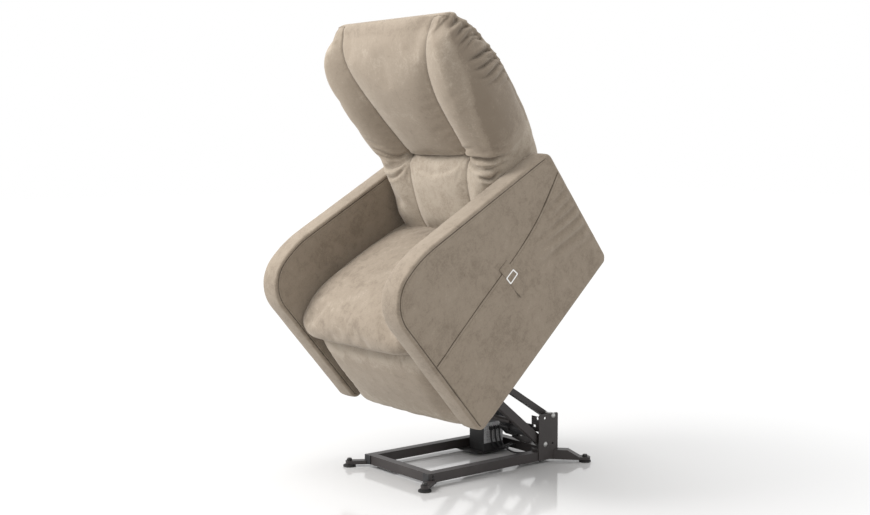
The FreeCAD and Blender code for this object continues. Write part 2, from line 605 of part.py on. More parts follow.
def make_footrest():
    """Two links on each side swing the padded panel up and forward."""
    x1 = CARR_IN - FOOT_GAP
    rear_x = x1 - FOOT_LINK
    front_x = rear_x - FOOT_GAP - FOOT_LINK
    lug_x = front_x - FOOT_GAP - FOOT_LINK
    hole = FOOT_PIN_R + RUN_FIT
    t = FOOT_LINK
    rear = bar_plate(rear_x, rear_x + t, FOOT_A, FOOT_K, FOOT_LINK_R)
    front = bar_plate(front_x, front_x + t, FOOT_K, FOOT_B, FOOT_LINK_R)
    for spot in (FOOT_A, FOOT_K):
        rear = rear.cut(rod(rear_x - 1, rear_x + t + 1, spot, hole))
    for spot in (FOOT_K, FOOT_B):
        front = front.cut(rod(front_x - 1, front_x + t + 1, spot, hole))
    mid = rod(front_x - 1.5, rear_x + t + 1.5, FOOT_K, FOOT_PIN_R)
    save("footrest_rear_links", pair([chair(rear), chair(mid)]))
    save("footrest_front_links", pair(chair(front)))
    tip = chair(rod(lug_x, front_x + t + 1.5, FOOT_B, FOOT_PIN_R))
    by, bz = FOOT_B
    back_y = FOOT_PANEL_BACK
    lug = plate(lug_x, lug_x + t, [(back_y, bz - 85), (back_y + 12, bz - 60), (by + 9, bz - 6),
                                   (by + 6, bz + 8), (by - 8, bz + 6), (back_y, bz - 38)],
                [0, 8, 6, 6, 6, 0])
    lug = chair(lug.cut(rod(lug_x - 1, lug_x + 9, FOOT_B, hole)))
    save("footrest_lugs", pair([lug, tip]))
    board = chair(box(-245, 245, back_y - FOOT_BOARD_T, back_y, 5, bz - 38))
    save("footrest_board", board)
    # Padded panel: the front face is crowned and its sides are drawn in
    sections = []
    for x in (-FOOT_HALF, -FOOT_HALF + 14, -150, 0, 150, FOOT_HALF - 14, FOOT_HALF):
        share = abs(x) / FOOT_HALF
        swell = 15.0 * (1 - share ** 2) - 16.0 * share ** 16
        rest = back_y - SOFT_GAP
        shape = [(rest, -8), (rest, 150), (FOOT_TOP_BACK, 283), (52 - swell * 0.6, 285),
                 (26 - swell, 190), (18 - swell, 90), (16 - swell * 0.7, -10)]
        sections.append(section(shape, [8, 60, 10, 16, 200, 200, 14], x))
    pad = Part.makeLoft(sections, True, False)
    pocket = box(-245.3, 245.3, back_y - FOOT_BOARD_T - SOFT_GAP, back_y + 3, 4.7, bz - 37.7)
    save("footrest_pad", chair(pad.cut(pocket)))


def section(points, radii, x):
    return outline_face(points, radii, x).OuterWire


def make_arms():
    face = outline_face(ARM_OUTLINE, ARM_RADII, ARM_IN)
    arm = face.extrude(V(ARM_OUT - ARM_IN, 0, 0))
    rims = [e for e in arm.Edges if abs(e.BoundBox.XLength) < 1e-6 and e.BoundBox.ZMax > 30]
    arm = arm.makeFillet(EDGE, rims)
    drop = ARM_BOARD_INSET - 4.0
    inner = Part.Face(face.OuterWire.makeOffset2D(-ARM_BOARD_INSET))
    board = inner.extrude(V(ARM_BOARD_T, 0, 0))
    board.translate(V(ARM_BOARD_IN - ARM_IN, 0, -drop))
    wide = Part.Face(face.OuterWire.makeOffset2D(-ARM_BOARD_INSET + SOFT_GAP))
    pocket = wide.extrude(V(ARM_BOARD_T + 2 * SOFT_GAP, 0, 0))
    pocket.translate(V(ARM_BOARD_IN - SOFT_GAP - ARM_IN, 0, -drop))
    lower = pocket.copy()
    lower.translate(V(0, 0, -12.0))
    both("arm_padding", chair(arm.cut(pocket).cut(lower)))
    save("arm_boards", pair(chair(board)))
    # Lower side panel: its upper edge follows the sewn seam and laps over the arm cover
    flat = plate(ARM_OUT, ARM_OUT + SKIN, SIDE_SEAM, SIDE_SEAM_RADII)
    rim = Part.Face(face.OuterWire.makeOffset2D(-EDGE)).extrude(V(SKIN, 0, 0))
    rim.translate(V(ARM_OUT - ARM_IN, 0, 0))
    save("side_panels", pair(chair(flat.common(rim))))
    # Fabric tab and metal ring, sewn into the seam on the left side only
    x = ARM_OUT + SKIN
    save("tag_tab", chair(box(x, x + STRAP_T, *STRAP_Y, *STRAP_Z)))
    ring = plate(x + STRAP_T, x + STRAP_T + RING_T, RING_OUTER, 4.0)
    ring = ring.cut(plate(x + 1, x + 4, RING_INNER, 2.0))
    save("tag_ring", chair(ring))
    save("rear_skirt", chair(box(-ARM_IN, ARM_IN, *SKIRT_Y, *SKIRT_Z)))


def make_seat():
    half, front, rear = SEAT_HALF, SEAT_FRONT, SEAT_REAR
    low, high = CARR_HIGH, CARR_HIGH + WOOD_T
    side = chair(box(half - WOOD_W, half, front, rear, low, high))
    cross = [chair(box(-half + WOOD_W, half - WOOD_W, y, y + WOOD_W, low, high))
             for y in (front, rear - WOOD_W)]
    save("seat_frame", pair(side) + cross)
    straps = []
    for i in range(5):
        y = front + 48 + i * SEAT_STRAP_STEP
        straps.append(chair(box(-half + 12, half - 12, y, y + SEAT_STRAP, high, high + WEB_T)))
    save("seat_webbing", straps)
    bottom = high + WEB_T + SOFT_GAP
    sections = []
    for x in SEAT_STATIONS:
        share = abs(x) / SEAT_SOFT_HALF
        crown = 10.0 * (1 - share ** 2) - 20.0 * share ** 14
        nose = 18.0 * share ** 10
        shape = [(560, bottom), (108, bottom), (104, 297), (26 + nose, 298), (8 + nose, 322),
                 (20 + nose, 358 + crown / 2), (62 + nose, 376 + crown), (150, 382 + crown),
                 (300, 359 + crown), (538, 297), (560, 286)]
        radii = [6, 4, 4, 10, 18, 30, 60, 150, 200, 8, 6]
        sections.append(section(shape, radii, x))
    save("seat_cushion", chair(Part.makeLoft(sections, True, False)))


def back_section(row):
    """Level section of the back: bolsters, two sewn channels and the middle panel."""
    z, bolster, seam, middle, rear, half, seam_x = row
    side = bolster + max(24.0, 0.75 * (seam - bolster))
    turn = min(30.0, (rear - side) / 3)
    cut = turn * 0.3
    p = lambda x, y: V(x, y, z)
    centre = (seam_x + half) / 2
    edges = [
        Part.Arc(p(-seam_x, seam), p(0, middle), p(seam_x, seam)),
        Part.Arc(p(seam_x, seam), p(centre, bolster), p(half, side)),
        Part.Arc(p(half, side), p(half + 2, (side + rear - turn) / 2), p(half, rear - turn)),
        Part.Arc(p(half, rear - turn), p(half - cut, rear - cut), p(half - turn, rear)),
        Part.LineSegment(p(half - turn, rear), p(-half + turn, rear)),
        Part.Arc(p(-half + turn, rear), p(-half + cut, rear - cut), p(-half, rear - turn)),
        Part.Arc(p(-half, rear - turn), p(-half - 2, (side + rear - turn) / 2), p(-half, side)),
        Part.Arc(p(-half, side), p(-centre, bolster), p(-seam_x, seam))]
    return Part.Wire([e.toShape() for e in edges])


def lean(shape):
    """From the backrest frame's own axes, rear face at Y = 0, to the chair frame."""
    moved = shape.copy()
    moved.rotate(V(0, 0, 0), V(1, 0, 0), -BACK_RAKE)
    moved.translate(V(0, BACK_FOOT[0], BACK_FOOT[1]))
    return moved


def make_back():
    form = Part.makeLoft([back_section(row) for row in BACK_ROWS], True, False)
    plate_out = BACK_OUT + HINGE_PLATE
    top = BACK_HIGH - 80.0
    stile = chair(lean(box(BACK_IN, BACK_OUT, -BACK_T, 0, BACK_LOW, top)))
    rungs = [chair(lean(box(-BACK_IN, BACK_IN, -BACK_T, 0, z, z + BACK_RUNG)))
             for z in (BACK_LOW, (BACK_LOW + top - BACK_RUNG) / 2, top - BACK_RUNG)]
    save("back_frame", pair(stile) + rungs)
    straps = []
    for x in (-110, 0, 110):
        straps.append(chair(lean(box(x - 25, x + 25, -BACK_T - WEB_T, -BACK_T, 30, top - 20))))
    save("back_webbing", straps)
    slot = box(-plate_out - SOFT_GAP, plate_out + SOFT_GAP, -BACK_T - SOFT_GAP, 2, -80, top + SOFT_GAP)
    web = box(-140, 140, -BACK_T - WEB_T - SOFT_GAP, 0, 25, top - 15)
    behind = lean(box(-400, 400, 1.0, 400, -200, 900))
    save("back_cushion", chair(form.cut(lean(slot)).cut(lean(web)).cut(behind)))
    rear_half = lean(box(-400, 400, 1.0 + SOFT_GAP, 400, -200, 900))
    save("outer_back", chair(form.common(rear_half)))
    hy, hz = HINGE
    foot = [(hy + y, hz + z) for y, z in BACK_PLATE_FOOT]
    heel = (hy + BACK_PLATE_HEEL[0], hz + BACK_PLATE_HEEL[1])
    side = plate(BACK_OUT, plate_out, foot + BACK_PLATE_TOP + [heel], BACK_PLATE_RADII)
    side = side.cut(rod(BACK_OUT - 1, plate_out + 1, HINGE, BOLT_R))
    tube = rod(-BACK_OUT, BACK_OUT, HINGE, TORQUE_R).cut(rod(-260, 260, HINGE, TORQUE_R - RAIL_WALL))
    save("torque_tube", chair(tube))
    pin = rod(BACK_OUT, CARR_OUT + HINGE_PLATE + 2, HINGE, BOLT_R)
    pin = pin.fuse(rod(CARR_OUT + HINGE_PLATE + 0.5, CARR_OUT + HINGE_PLATE + 4, HINGE, 8.0))
    pins = pair(chair(pin))
    cheeks = pair(chair(side))
    for sign in (-1, 1):
        x0 = REC_X + sign * 10.0 - 2.0
        cheek = bar_plate(x0, x0 + 4, HINGE, REC_REAR, 11.0).fuse(rod(x0, x0 + 4, HINGE, 20.0))
        cheek = cheek.cut(rod(x0 - 1, x0 + 5, HINGE, TORQUE_R))
        cheeks.append(chair(cheek.cut(rod(x0 - 1, x0 + 5, REC_REAR, REC_PIN_R))))
    save("back_steel_plates", cheeks)
    pins.append(chair(rod(REC_X - 14, REC_X + 14, REC_REAR, REC_PIN_R)))
    save("back_pins", pins)


def cord(name, points, d):
    """Tube along straight runs joined by tangent arcs; prints its radii and volume ratio."""
    pts = [V(*p) for p in points]
    edges, start, radii = [], pts[0], []
    for i in range(1, len(pts) - 1):
        before, after = pts[i - 1] - pts[i], pts[i + 1] - pts[i]
        shorter = min(before.Length, after.Length)
        half_turn = (math.pi - before.getAngle(after)) / 2
        reach = 0.45 * shorter
        r = reach / math.tan(half_turn)
        radii.append(round(r))
        u, w = before.normalize(), after.normalize()
        middle = (u + w).normalize() * (r / math.cos(half_turn) - r)
        a, m, b = pts[i] + u * reach, pts[i] + middle, pts[i] + w * reach
        edges.append(Part.LineSegment(start, a).toShape())
        edges.append(Part.Arc(a, m, b).toShape())
        start = b
    edges.append(Part.LineSegment(start, pts[-1]).toShape())
    path = Part.Wire(edges)
    tangent = (pts[1] - pts[0]).normalize()
    ring = Part.Wire(Part.makeCircle(d / 2, pts[0], tangent))
    tube = path.makePipeShell([ring], True, False)
    ratio = tube.Volume / (math.pi * d * d / 4 * path.Length)
    print(name, "length", round(path.Length), "radii", radii, "volume ratio", round(ratio, 4))
    save(name, tube)


def make_leads():
    """Three thin leads leave the box through elbows; two enter the rear tube, one loops."""
    d = LEAD_D
    fittings = []
    out = BOX_X1 + 5.0
    for y in LEAD_Y:
        fittings.append(box(BOX_X1, out + 5, y - 5, y + 5, 86, 98))
    back = BASE_REAR
    entry = back - 5.0
    for x in (-14.0, -28.0):
        fittings.append(Part.makeCylinder(5.0, 5.0, V(x, entry, 26), V(0, 1, 0)))
    end_y = back + RAIL
    fittings.append(box(-76, -60, end_y, end_y + 17, 22, 38))
    save("lead_fittings", fittings)
    cord("lead_loop", [(out, 295, 86), (out, 295, 68), (-29, 297, 47), (-20, 303, 28),
                       (-6, 311, 14), (11, 321, 6), (27, 336, 3.8), (34, 357, 3.6),
                       (25, 379, 3.8), (3, 391, 5), (-18, 394, 12), (-33, 391, 22),
                       (-46, 388, 29.6), (-60, 388, 29.6)], d)
    cord("lead_middle", [(out, 276, 86), (out, 276, 68), (-31, 278.5, 49), (-28, 285, 31),
                         (-23, 297, 19.5), (-18, 312, 17), (-14, 329, 26), (-14, entry, 26)], d)
    cord("lead_front", [(out, 256, 86), (out, 256, 67), (-31.5, 259, 45), (-30.4, 268, 27),
                        (-29, 285, 16), (-28.4, 306, 15), (-28, 327, 26), (-28, entry, 26)], d)


front_screws = make_base()
make_posts()
make_feet(front_screws)
make_links()
make_upper_pins()
make_tray()
make_lift_actuator()
make_recline_actuator()
make_carriage()
make_footrest()
make_arms()
make_seat()
make_back()
make_leads()
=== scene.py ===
import math
import bpy
import bmesh
import numpy as np
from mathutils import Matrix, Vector, noise


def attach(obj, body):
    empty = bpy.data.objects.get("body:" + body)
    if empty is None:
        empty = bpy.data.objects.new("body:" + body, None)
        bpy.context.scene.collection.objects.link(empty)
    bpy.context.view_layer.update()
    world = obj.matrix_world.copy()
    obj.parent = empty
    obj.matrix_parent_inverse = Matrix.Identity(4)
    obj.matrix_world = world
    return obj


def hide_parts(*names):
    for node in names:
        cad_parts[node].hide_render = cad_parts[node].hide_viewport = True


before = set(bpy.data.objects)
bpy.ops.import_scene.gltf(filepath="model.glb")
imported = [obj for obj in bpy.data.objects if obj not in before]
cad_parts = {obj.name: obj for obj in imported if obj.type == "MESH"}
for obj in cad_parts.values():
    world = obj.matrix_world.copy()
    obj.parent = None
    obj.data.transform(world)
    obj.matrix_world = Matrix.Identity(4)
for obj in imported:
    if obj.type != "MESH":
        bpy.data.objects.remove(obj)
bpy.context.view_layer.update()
scene = bpy.context.scene


# Camera. The chair stands raised and is looked at from in front and to the right, from just below
# the top of its back, with a lens long enough that its upright lines stay nearly parallel.
bpy.ops.object.camera_add(location=(3.308, -2.662, 1.080),
                          rotation=(math.radians(84.896), 0, math.radians(51.357)))
camera = bpy.context.object
camera.name = "camera"
camera.data.sensor_width = 36
camera.data.lens = 53.90
camera.data.clip_end = 60
scene.camera = camera


# Three leads in black sheath, 6 mm thick. Each leaves an elbow on the power box and goes into the
# rear tube of the base: two hang straight down to it, and one runs round over the floor first.
LEAD = 0.006
SHEATH_BLACK = (0.018, 0.017, 0.018, 1)


def lay_lead(name, route):
    """A lead whose line has the points of its route, given in millimetres."""
    curve = bpy.data.curves.new(name, "CURVE")
    curve.dimensions = "3D"
    curve.bevel_depth = 1.0
    curve.bevel_resolution = 5
    curve.resolution_u = 10
    curve.use_fill_caps = True
    line = curve.splines.new("NURBS")
    line.points.add(len(route) - 1)
    for point, (x, y, z) in zip(line.points, route):
        point.co = (x / 1000, y / 1000, z / 1000, 1)
        point.radius = LEAD / 2
    line.order_u = 3
    line.use_endpoint_u = True
    lead = bpy.data.objects.new(name + "_cover", curve)
    scene.collection.objects.link(lead)
    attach(lead, "base")
    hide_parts(name)
    return lead


leads = [
    lay_lead("lead_loop", [
        (-32, 295, 86), (-32, 295, 68), (-29, 297, 47), (-20, 303, 28), (-6, 311, 14),
        (11, 321, 6), (27, 336, 3.8), (34, 357, 3.6), (25, 379, 3.8), (3, 391, 5),
        (-18, 394, 12), (-33, 391, 22), (-46, 388, 29.6), (-60, 388, 29.6)]),
    lay_lead("lead_middle", [
        (-32, 276, 86), (-32, 276, 68), (-31, 278.5, 49), (-28, 285, 31), (-23, 297, 19.5),
        (-18, 312, 17), (-14, 329, 26), (-14, 343.5, 26)]),
    lay_lead("lead_front", [
        (-32, 256, 86), (-32, 256, 67), (-31.5, 259, 45), (-30.4, 268, 27), (-29, 285, 16),
        (-28.4, 306, 15), (-28, 327, 26), (-28, 343.5, 26)]),
]


class Field:
    """A value that changes over a surface. Arithmetic on it adds the Math nodes."""

    def __init__(self, finish, socket):
        self.finish = finish
        self.socket = socket

    def math(self, operation, *values):
        return self.finish.add("ShaderNodeMath", {"operation": operation}, *values)

    def __add__(self, other):
        return self.math("ADD", self, other)

    def __sub__(self, other):
        return self.math("SUBTRACT", self, other)

    def __rsub__(self, other):
        return self.math("SUBTRACT", other, self)

    def __mul__(self, other):
        return self.math("MULTIPLY", self, other)

    __radd__, __rmul__ = __add__, __mul__

    def sine(self):
        return self.math("SINE", self)

    def step(self, low, high):
        """Nought below low, one above high, and smooth between them."""
        return self.finish.add("ShaderNodeMapRange", {"interpolation_type": "SMOOTHSTEP"},
                               self, low, high, 0.0, 1.0)


class Finish:
    """A finish made of shader nodes, measured in metres from the chair's own origin."""

    def __init__(self, name, **surface):
        self.material = bpy.data.materials.new(name)
        self.material.use_nodes = True
        self.tree = self.material.node_tree
        self.shader = self.tree.nodes["Principled BSDF"]
        self.place = self.add("ShaderNodeTexCoord", {}, output="Object")
        self.set(**surface)

    def add(self, kind, settings, *values, output=0, **named):
        """One node: its settings first, then its sockets in order or by name."""
        node = self.tree.nodes.new(kind)
        for setting, value in settings.items():
            setattr(node, setting, value)
        sockets = list(zip(node.inputs, values))
        sockets += [(node.inputs[key.replace("_", " ")], value) for key, value in named.items()]
        for socket, value in sockets:
            self.plug(socket, value)
        return Field(self, node.outputs[output])

    def plug(self, socket, value):
        if isinstance(value, Field):
            self.tree.links.new(value.socket, socket)
        elif value is not None:
            socket.default_value = value

    def set(self, **surface):
        for key, value in surface.items():
            self.plug(self.shader.inputs[key.replace("_", " ")], value)

    def noise(self, size, detail=2.0, roughness=0.5, place=None, distortion=0.0):
        """Cloudy noise whose patches are about size metres across."""
        return self.add("ShaderNodeTexNoise", {}, Vector=place or self.place, Scale=1 / size,
                        Detail=detail, Roughness=roughness, Distortion=distortion)

    def streaks(self, lengths, detail=2.0, roughness=0.5, turn=(0.0, 0.0, 0.0), place=None,
                distortion=0.0):
        """Noise drawn out along the longest of three lengths, which are turned first."""
        drawn_out = self.add("ShaderNodeMapping", {"vector_type": "TEXTURE"},
                             Vector=place or self.place, Rotation=turn, Scale=lengths)
        return self.noise(1.0, detail, roughness, drawn_out, distortion)

    def mix(self, mask, first, second):
        """A colour between two, by a mask from nought to one."""
        node = self.tree.nodes.new("ShaderNodeMix")
        node.data_type = "RGBA"
        self.plug(node.inputs["Factor"], mask)
        self.plug(node.inputs[6], first)
        self.plug(node.inputs[7], second)
        return Field(self, node.outputs[2])

    def relief(self, height, depth, edge=None):
        """Bump of a depth in metres, over edges broken by a small radius, which feeds Normal."""
        broken = edge and self.add("ShaderNodeBevel", {"samples": 4}, Radius=edge)
        return self.add("ShaderNodeBump", {}, Strength=1.0, Distance=depth, Height=height,
                        Normal=broken)


def dress(piece, finish):
    """Gives a piece one finish all over."""
    piece.data.materials.clear()
    piece.data.materials.append(finish.material)


lead_finish = Finish("lead_sheath", Base_Color=SHEATH_BLACK, Specular_IOR_Level=0.5)
sheath_grain = lead_finish.noise(0.0009, 3)
lead_finish.set(Roughness=0.36 + 0.12 * lead_finish.noise(0.012, 2),
                Normal=lead_finish.relief(sheath_grain, 0.00006))
for lead in leads:
    dress(lead, lead_finish)


# The studio: a pale glossy floor that runs out into white, a white room round it, and two large
# soft lamps. One stands high to the left of the camera, and the other hangs overhead.
bpy.ops.mesh.primitive_plane_add(size=40, location=(0, 0, 0))
floor = bpy.context.object
floor.name = "studio_floor"
floor_finish = Finish("studio_floor", Base_Color=(0.60, 0.595, 0.59, 1), Roughness=0.09,
                      Specular_IOR_Level=0.35)
distance = floor_finish.add("ShaderNodeVectorMath", {"operation": "LENGTH"}, floor_finish.place,
                            output="Value")
fade = distance.step(0.35, 2.3)
bright = floor_finish.add("ShaderNodeEmission", {}, Color=(1, 1, 1, 1), Strength=1.05)
floor_mix = floor_finish.add("ShaderNodeMixShader", {}, fade)
floor_finish.tree.links.new(floor_finish.shader.outputs[0], floor_mix.socket.node.inputs[1])
floor_finish.tree.links.new(bright.socket, floor_mix.socket.node.inputs[2])
floor_finish.tree.links.new(floor_mix.socket,
                            floor_finish.tree.nodes["Material Output"].inputs["Surface"])
dress(floor, floor_finish)

room = bpy.data.worlds.new("white_room")
room.use_nodes = True
room.node_tree.nodes["Background"].inputs["Color"].default_value = (1, 1, 1, 1)
room.node_tree.nodes["Background"].inputs["Strength"].default_value = 1.0
scene.world = room
scene.view_settings.view_transform = "Standard"


def hang_lamp(name, place, aim, size, power):
    """A square soft lamp that faces a point."""
    bpy.ops.object.light_add(type="AREA", location=place)
    lamp = bpy.context.object
    lamp.name = name
    lamp.data.shape = "SQUARE"
    lamp.data.size = size
    lamp.data.energy = power
    lamp.rotation_euler = (Vector(aim) - Vector(place)).to_track_quat("-Z", "Y").to_euler()


hang_lamp("lamp_left", (-2.4, -3.6, 3.6), (0, 0, 0.8), 2.4, 300)
hang_lamp("lamp_top", (-0.4, 0.0, 4.4), (0, 0, 0.8), 2.6, 60)


# Cover of the chair: a taupe suede microfibre. Its short nap is brushed this way and that, so it
# is mottled in soft clouds with finer streaks in them, and it turns paler where light grazes it.
SUEDE_DEEP = (0.186, 0.149, 0.112, 1)
SUEDE_MID = (0.252, 0.207, 0.159, 1)
SUEDE_PALE = (0.345, 0.294, 0.235, 1)
SEAM_SHADE = (0.035, 0.026, 0.018, 1)


def suede(name, brushed=(0.020, 0.020, 0.020), turn=(0.0, 0.0, 0.0), clouds=0.16, seed=0.0,
          shade_offset=0.0):
    """Suede whose streaks are brushed along the longest of three lengths; the last argument shifts
    the tone of the whole cover, as painted shade.
    """
    cloth = Finish(name, Specular_IOR_Level=0.18, Sheen_Weight=0.22, Sheen_Roughness=0.55,
                   Sheen_Tint=(1.0, 0.93, 0.84, 1))
    here = cloth.add("ShaderNodeVectorMath", {"operation": "ADD"}, cloth.place,
                     (seed, 0.37 * seed, 0.61 * seed))
    wide = cloth.noise(0.110, 3.0, 0.55, here, 0.6)
    patch = cloth.noise(0.030, 4.0, 0.62, here, 0.9)
    streak = cloth.streaks(brushed, 4.0, 0.62, turn, here, 0.5)
    fibre = cloth.noise(0.0016, 3.0, 0.7, here)
    fleck = cloth.noise(0.0055, 2.0, 0.6, here)
    nap_and_painted_light = (0.5 + 2.3 * clouds * (wide - 0.5) * 2 + 2.4 * clouds * (patch - 0.5) * 2
           + 1.1 * clouds * (streak - 0.5) * 2 + 0.50 * (fleck - 0.5) + 0.55 * (fibre - 0.5))
    # Painted light and shade: the offset and the second attribute make the cover paler or darker by
    # how light falls on each part.
    nap_and_painted_light = nap_and_painted_light + shade_offset + cloth.add("ShaderNodeAttribute", {"attribute_name": "painted_light"}, output="Fac")
    lower = cloth.mix(nap_and_painted_light.step(0.0, 0.5), SUEDE_DEEP, SUEDE_MID)
    colour_with_painted_light = cloth.mix(nap_and_painted_light.step(0.5, 1.0), lower, SUEDE_PALE)
    # Painted shade: the seam attribute darkens the cover towards SEAM_SHADE along seams and
    # stitches and in folds.
    seam_shading = cloth.add("ShaderNodeAttribute", {"attribute_name": "seam"}, output="Fac")
    cloth.set(Base_Color=cloth.mix(0.85 * seam_shading, colour_with_painted_light, SEAM_SHADE),
              Roughness=0.98 - 0.16 * nap_and_painted_light,
              Normal=cloth.relief(0.5 * fibre + 0.9 * fleck + 0.7 * streak, 0.00035))
    return cloth


# The chair's own axes: U runs back along the seat, V up from it, and X to the right as the chair
# is seen from its front, so that right is at the sitter's left hand in the names of pieces here.
# The chair is raised and tipped, and the axes turn with it. Lengths are in millimetres.
TIP = math.radians(43.2)
CHAIR_Y, CHAIR_Z = -131.4, 197.6


def stand(points):
    """Places (X, U, V) in millimetres in the raised chair, in metres."""
    x, u, v = np.moveaxis(np.asarray(points, float), -1, 0)
    y = CHAIR_Y + u * math.cos(TIP) - v * math.sin(TIP)
    z = CHAIR_Z + u * math.sin(TIP) + v * math.cos(TIP)
    return np.stack([x, y, z], -1) / 1000


def woven(name, rows, closed=True, finish=None, seams=None, painted_light=None):
    """A mesh from equal rows of points: a cover closed round its rows and at both ends, or open."""
    rows = np.asarray(rows, float)
    count, across = rows.shape[:2]
    faces = []
    for i in range(count - 1):
        for j in range(across if closed else across - 1):
            k = (j + 1) % across
            faces.append((i * across + j, i * across + k,
                          (i + 1) * across + k, (i + 1) * across + j))
    if closed:
        for first in (0, (count - 1) * across):
            faces.append((first, first + 1, first + across - 1))
            for j in range(1, across // 2 - 1):
                faces.append((first + j, first + j + 1,
                              first + across - 1 - j, first + across - j))
            last = first + across // 2
            faces.append((last - 1, last, last + 1))
    mesh = bpy.data.meshes.new(name)
    mesh.from_pydata(stand(rows.reshape(-1, 3)).tolist(), [], faces)
    work = bmesh.new()
    work.from_mesh(mesh)
    bmesh.ops.recalc_face_normals(work, faces=work.faces)
    work.to_mesh(mesh)
    work.free()
    mesh.shade_smooth()
    # The first attribute carries painted shade along seams and in folds, and the second painted
    # light and shade over the cover.
    for label, values in (("seam", seams), ("painted_light", painted_light)):
        if values is not None:
            marks = mesh.attributes.new(label, "FLOAT", "POINT")
            marks.data.foreach_set("value", np.asarray(values, np.float32).ravel())
    piece = bpy.data.objects.new(name, mesh)
    scene.collection.objects.link(piece)
    if finish:
        dress(piece, finish)
    return piece


def smooth(value, low, high):
    """Nought at low, one at high, and smooth between them."""
    t = np.clip((np.asarray(value, float) - low) / (high - low), 0, 1)
    return t * t * (3 - 2 * t)


def refine(piece):
    """Subdivides a piece once, after any other modifier of it, and applies them all."""
    finer = piece.modifiers.new("finer", "SUBSURF")
    finer.levels = 1
    finer.render_levels = 1
    bpy.ops.object.select_all(action="DESELECT")
    piece.select_set(True)
    bpy.context.view_layer.objects.active = piece
    for modifier in piece.modifiers.keys():
        bpy.ops.object.modifier_apply(modifier=modifier)


def face_out(sheet, side):
    """Turns the faces of a sheet that lies on the outside of an arm outwards."""
    faces = sheet.data.polygons
    if faces[len(faces) // 2].normal.x * side < 0:
        sheet.data.flip_normals()


def thicken(sheet, thickness, offset=-1):
    """Gives an open sheet its thickness in metres, and refines it."""
    cloth = sheet.modifiers.new("cloth_thickness", "SOLIDIFY")
    cloth.thickness = thickness
    cloth.offset = offset
    refine(sheet)


def wander(points, size, seed=0.0):
    """Smooth noise from -1 to 1 at each of an array of points, for slight lumps in padding."""
    return np.array([noise.noise(Vector(p) / size + Vector((seed, 0, 0))) for p in points])


# Arms: a board with foam on it, 81 mm thick, in one cover of three parts. A band goes up the
# front and over the top, sewn to the inner and outer faces in a seam that sinks into the foam,
# with one row of stitches beside it on each face. The rear and the underside have no seam.
ARM_MIDDLE = 327.5
ARM_HALF = 40.5
ARM_FACE = ARM_MIDDLE + ARM_HALF
ARM_EDGE = 9.0
ARM_CORNERS = ((0, 0, 25), (25.0, 545.7, 123.4), (197.5, 567.5, 377.9), (780.9, 433.9, 25),
               (736.5, 0, 25))
ARM_CENTRE = np.array([385.0, 265.0])
ARM_FLAT = 20.4
ARM_STEPS = 330
SIDE_NAMES = {1: "right", -1: "left"}


def lengths(line):
    """Distance along a line at each of its points."""
    return np.r_[0, np.cumsum(np.linalg.norm(np.diff(line, axis=0), axis=1))]


def evenly(line, count):
    """Evenly spaced points along a flat line."""
    along = lengths(line)
    even = np.linspace(0, along[-1], count)
    return np.stack([np.interp(even, along, line[:, k]) for k in (0, 1)], 1)


def ring_out(ring):
    """Outward direction at each point of a flat closed ring."""
    ahead = np.roll(ring, -1, axis=0) - np.roll(ring, 1, axis=0)
    out = np.stack([ahead[:, 1], -ahead[:, 0]], 1)
    out /= np.linalg.norm(out, axis=1)[:, None] + 1e-9
    if ((ring - ring.mean(axis=0)) * out).sum() < 0:
        out = -out
    return out


def closed_line(corners, count):
    """Evenly spaced points round a closed line with rounded corners."""
    line = []
    for i, (u, v, radius) in enumerate(corners):
        here = np.array([u, v], float)
        before = np.array(corners[i - 1][:2], float) - here
        after = np.array(corners[(i + 1) % len(corners)][:2], float) - here
        before /= np.linalg.norm(before)
        after /= np.linalg.norm(after)
        half = math.acos(before @ after) / 2
        middle = here + (before + after) / np.linalg.norm(before + after) * radius / math.sin(half)
        start = here + before * radius / math.tan(half) - middle
        end = here + after * radius / math.tan(half) - middle
        for t in np.linspace(0, 1, 28):
            way = start * (1 - t) + end * t
            line.append(middle + way / np.linalg.norm(way) * radius)
    return evenly(np.array(line + line[:1]), count + 1)[:-1]


arm_line = closed_line(ARM_CORNERS, ARM_STEPS)
arm_out = ring_out(arm_line)
# One where the band is, from the lower front corner over the top to the upper rear corner.
arm_band = (1 - smooth(arm_line[:, 0] - 0.102 * arm_line[:, 1], 700, 722)) * smooth(
    arm_line[:, 1] + 0.3 * (arm_line[:, 0] < 60), 4, 16)


def face_swell(inset):
    """How far the foam lifts a face of the arm, by the distance from its edge."""
    return 1.5 * (1 - np.exp(-np.maximum(inset - 12, 0) / 26))


